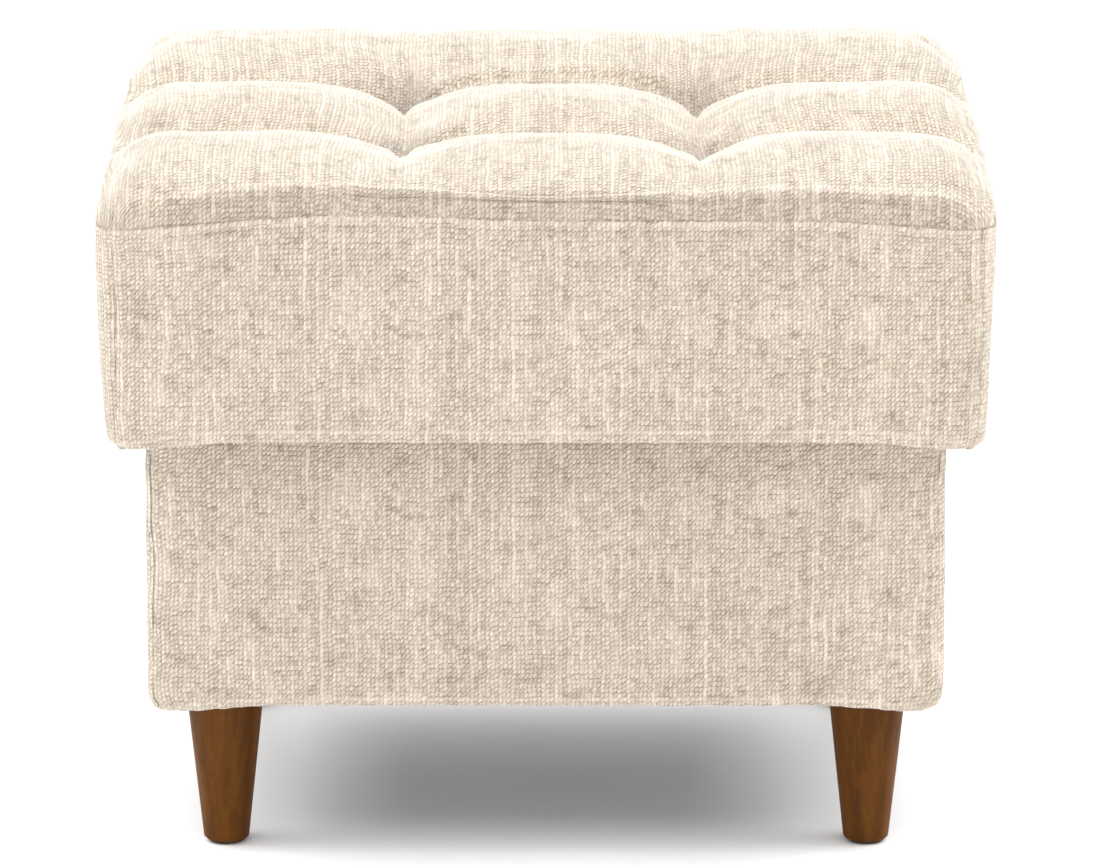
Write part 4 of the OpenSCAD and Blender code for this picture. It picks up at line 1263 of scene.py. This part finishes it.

# %% [markdown]
# ## Dressing the pouf
# Each soft piece gets its finish, rides on its body and stands for its plain solid. The size that
# each cloth was cut to is worked out from its flat coordinates. Rigid solids keep their shape and
# only get a finish.

# %% Finishes for the rigid solids
CORNERS = [f"{end}_{side}" for end in ("front", "rear") for side in ("left", "right")]
FINISHES = {
    "walnut": (walnut, [corner + "_leg" for corner in CORNERS]),
    "pine along X": (pine_along_x, [
        "front_batten", "back_batten", "base_front_panel", "base_back_panel", "front_cleat", "back_cleat",
        *(corner + "_block" for corner in CORNERS),
    ]),
    "pine along Y": (pine_along_y, ["left_batten", "right_batten", "base_left_panel", "base_right_panel"]),
    "plywood": (birch_ply, ["seat_board", "floor_board"]),
    "steel": (steel, [
        "batten_screws", "panel_screws", "tee_nuts", "hanger_bolts", "tuft_washers", "seat_staples",
        "base_staples",
    ]),
    "twine": (twine, ["tuft_twines"]),
    "felt": (felt, ["foot_glides"]),
}
for title, (material, names) in FINISHES.items():
    for name in names:
        slots = nodes[name].data.materials
        slots.clear()
        slots.append(material)
    print(title, "on", len(names), "solids")

# %% Finishes, bodies and places of the soft pieces
def dress(piece, material, slot, body, *solids):
    """Gives a piece its finish and its body, and hides the solids that it stands for. The slot argument is
    not used.
    """
    piece.data.materials.append(material)
    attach(piece, body)
    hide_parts(*solids)


def flat_size(piece):
    """The width and length of a cloth before it was fitted, in metres: the spans of its flat
    coordinates."""
    layer = piece.data.uv_layers["cloth"].data
    flat = np.empty(2 * len(layer), np.float32)
    layer.foreach_get("uv", flat)
    spans = np.ptp(flat.reshape(-1, 2), axis=0)
    return round(float(spans[0]), 3), round(float(spans[1]), 3)


dress(tufted_top, chenille, "seat_cloth", "seat", "seat_top_panel")
flat_size(tufted_top)
for cloths, slot, body, solid, filling in (
    (seat_cloths, "seat_cloth", "seat", "seat_border", "foam_wrap"),
    (base_cloths, "base_cloth", "base", "base_cover", "base_padding"),
):
    for side, cloth in cloths.items():
        dress(cloth, chenille, slot, body, f"{solid}_{side}")
        flat_size(cloth)
        print(cloth.name, "is cut to", flat_size(cloth), "m")
dress(quilt_padding, wadding, "wadding", "seat", "quilt_pad")
dress(foam_core, foam, "foam", "seat", "seat_foam")
dress(foam_wrap, wadding, "wadding", "seat", "seat_wadding")
dress(base_padding, wadding, "wadding", "base", "base_wadding")
dress(seat_underside, dark_cloth, "dark_cloth", "seat", "underside_cloth")
flat_size(seat_underside)
dress(dust_cloth, dark_cloth, "dark_cloth", "base", "dust_cover")
flat_size(dust_cloth)
dress(storage_lining, lining_cloth, "lining", "base", "compartment_lining")

# %% [markdown]
# ## Floor, light and camera
# The photograph is a studio picture on white: soft light from everywhere and from high above, with wide
# lamps on both sides, in front and behind, so that a soft grey shadow gathers under the middle. The
# camera is far away and looks down slightly.

# %% Floor
FLOOR_HALF = 14000.0


def build_floor():
    """A wide pale floor at the height of the feet."""
    corners = FLOOR_HALF * np.array([[-1, -1, 0], [1, -1, 0], [1, 1, 0], [-1, 1, 0]])
    floor = new_piece("studio_floor", corners, [[0, 1, 2, 3]])
    material, tree, shader = new_material("studio_floor")
    place = add_node(tree, "ShaderNodeTexCoord").outputs["Object"]
    tone = ramp(tree, noise(tree, place, 3.0, 2.0), 0.3, 0.7)
    colour = mix_colour(tree, tone, (0.96, 0.96, 0.96, 1), (0.98, 0.98, 0.98, 1))
    set_inputs(tree, shader, {"Base Color": colour, "Roughness": 0.9, "Specular IOR Level": 0.1})
    floor.data.materials.append(material)


build_floor()

# %% Light
def build_world(horizon, overhead):
    """A white world. Its light goes from one strength at the horizon to another overhead, by the
    sine of the elevation. What looks at it directly sees white."""
    world = bpy.data.worlds.new("studio_world")
    world.use_nodes = True
    tree = world.node_tree
    tree.nodes.clear()
    ray = tree.nodes.new("ShaderNodeLightPath").outputs
    seen = calc(tree, "MAXIMUM", ray["Is Camera Ray"], ray["Is Glossy Ray"])
    seen = calc(tree, "MAXIMUM", seen, ray["Is Transmission Ray"])
    way = tree.nodes.new("ShaderNodeTexCoord").outputs["Generated"]
    rise = calc(tree, "MAXIMUM", add_node(tree, "ShaderNodeSeparateXYZ", {0: way}).outputs[2], 0.0)
    level = calc(tree, "MULTIPLY_ADD", rise, overhead - horizon, horizon)
    unseen = calc(tree, "MULTIPLY", level, calc(tree, "SUBTRACT", 1.0, seen))
    strength = calc(tree, "ADD", unseen, seen)
    background = add_node(tree, "ShaderNodeBackground", {"Color": (1, 1, 1, 1), "Strength": strength})
    add_node(tree, "ShaderNodeOutputWorld", {0: background.outputs[0]})
    bpy.context.scene.world = world


def place_object(name, data, place, turn):
    """An object for a lamp or a camera, at its place and turned about X and then about Z."""
    made = bpy.data.objects.new(name, data)
    bpy.context.scene.collection.objects.link(made)
    made.location = place
    made.rotation_euler = (turn[0], 0, turn[1])
    return made


def add_lamp(name, place, target_height, width, height, power):
    """A soft rectangular lamp at place, turned towards a point over the middle of the floor."""
    data = bpy.data.lights.new(name, "AREA")
    data.shape = "RECTANGLE"
    data.size = width
    data.size_y = height
    data.energy = power
    way = np.array([0, 0, target_height]) - place
    tilt = math.acos(-way[2] / np.linalg.norm(way))
    place_object(name, data, place, (tilt, math.atan2(way[1], way[0]) - math.pi / 2))


def add_sun(name, elevation, spread, strength):
    """A very soft sun: its light comes from behind the pouf, at an elevation."""
    data = bpy.data.lights.new(name, "SUN")
    data.angle = math.radians(spread)
    data.energy = strength
    place_object(name, data, (0, 0, 0), (math.radians(elevation - 90), 0))


build_world(0.63, 0.46)
add_sun("soft_overhead", 79, 115, 4.1)
add_lamp("front_lamp", (0.0, -3.0, 0.9), 0.2, 2.2, 0.6, 5.5)
add_lamp("back_lamp", (0.0, 3.0, 0.7), 0.0, 2.2, 0.5, 38)
add_lamp("left_lamp", (-2.3, 0.0, 1.9), 0.0, 1.6, 0.8, 21)
add_lamp("right_lamp", (2.3, 0.0, 1.9), 0.0, 1.6, 0.8, 18)

# %% Camera
CAMERA_PLACE = (0.0025, -4.985, 1.500)
PITCH = 14.3
PIXELS_FOCAL = 7865.0
PICTURE_WIDTH = 1100
SENSOR = 36.0
camera_data = bpy.data.cameras.new("studio_camera")
camera_data.sensor_width = SENSOR
camera_data.lens = PIXELS_FOCAL * SENSOR / PICTURE_WIDTH
camera_data.clip_end = 60.0
camera = place_object("studio_camera", camera_data, CAMERA_PLACE, (math.radians(90 - PITCH), 0))
bpy.context.scene.camera = camera
bpy.context.scene.view_settings.view_transform = "Standard"
print("camera lens", round(camera_data.lens, 1), "mm")
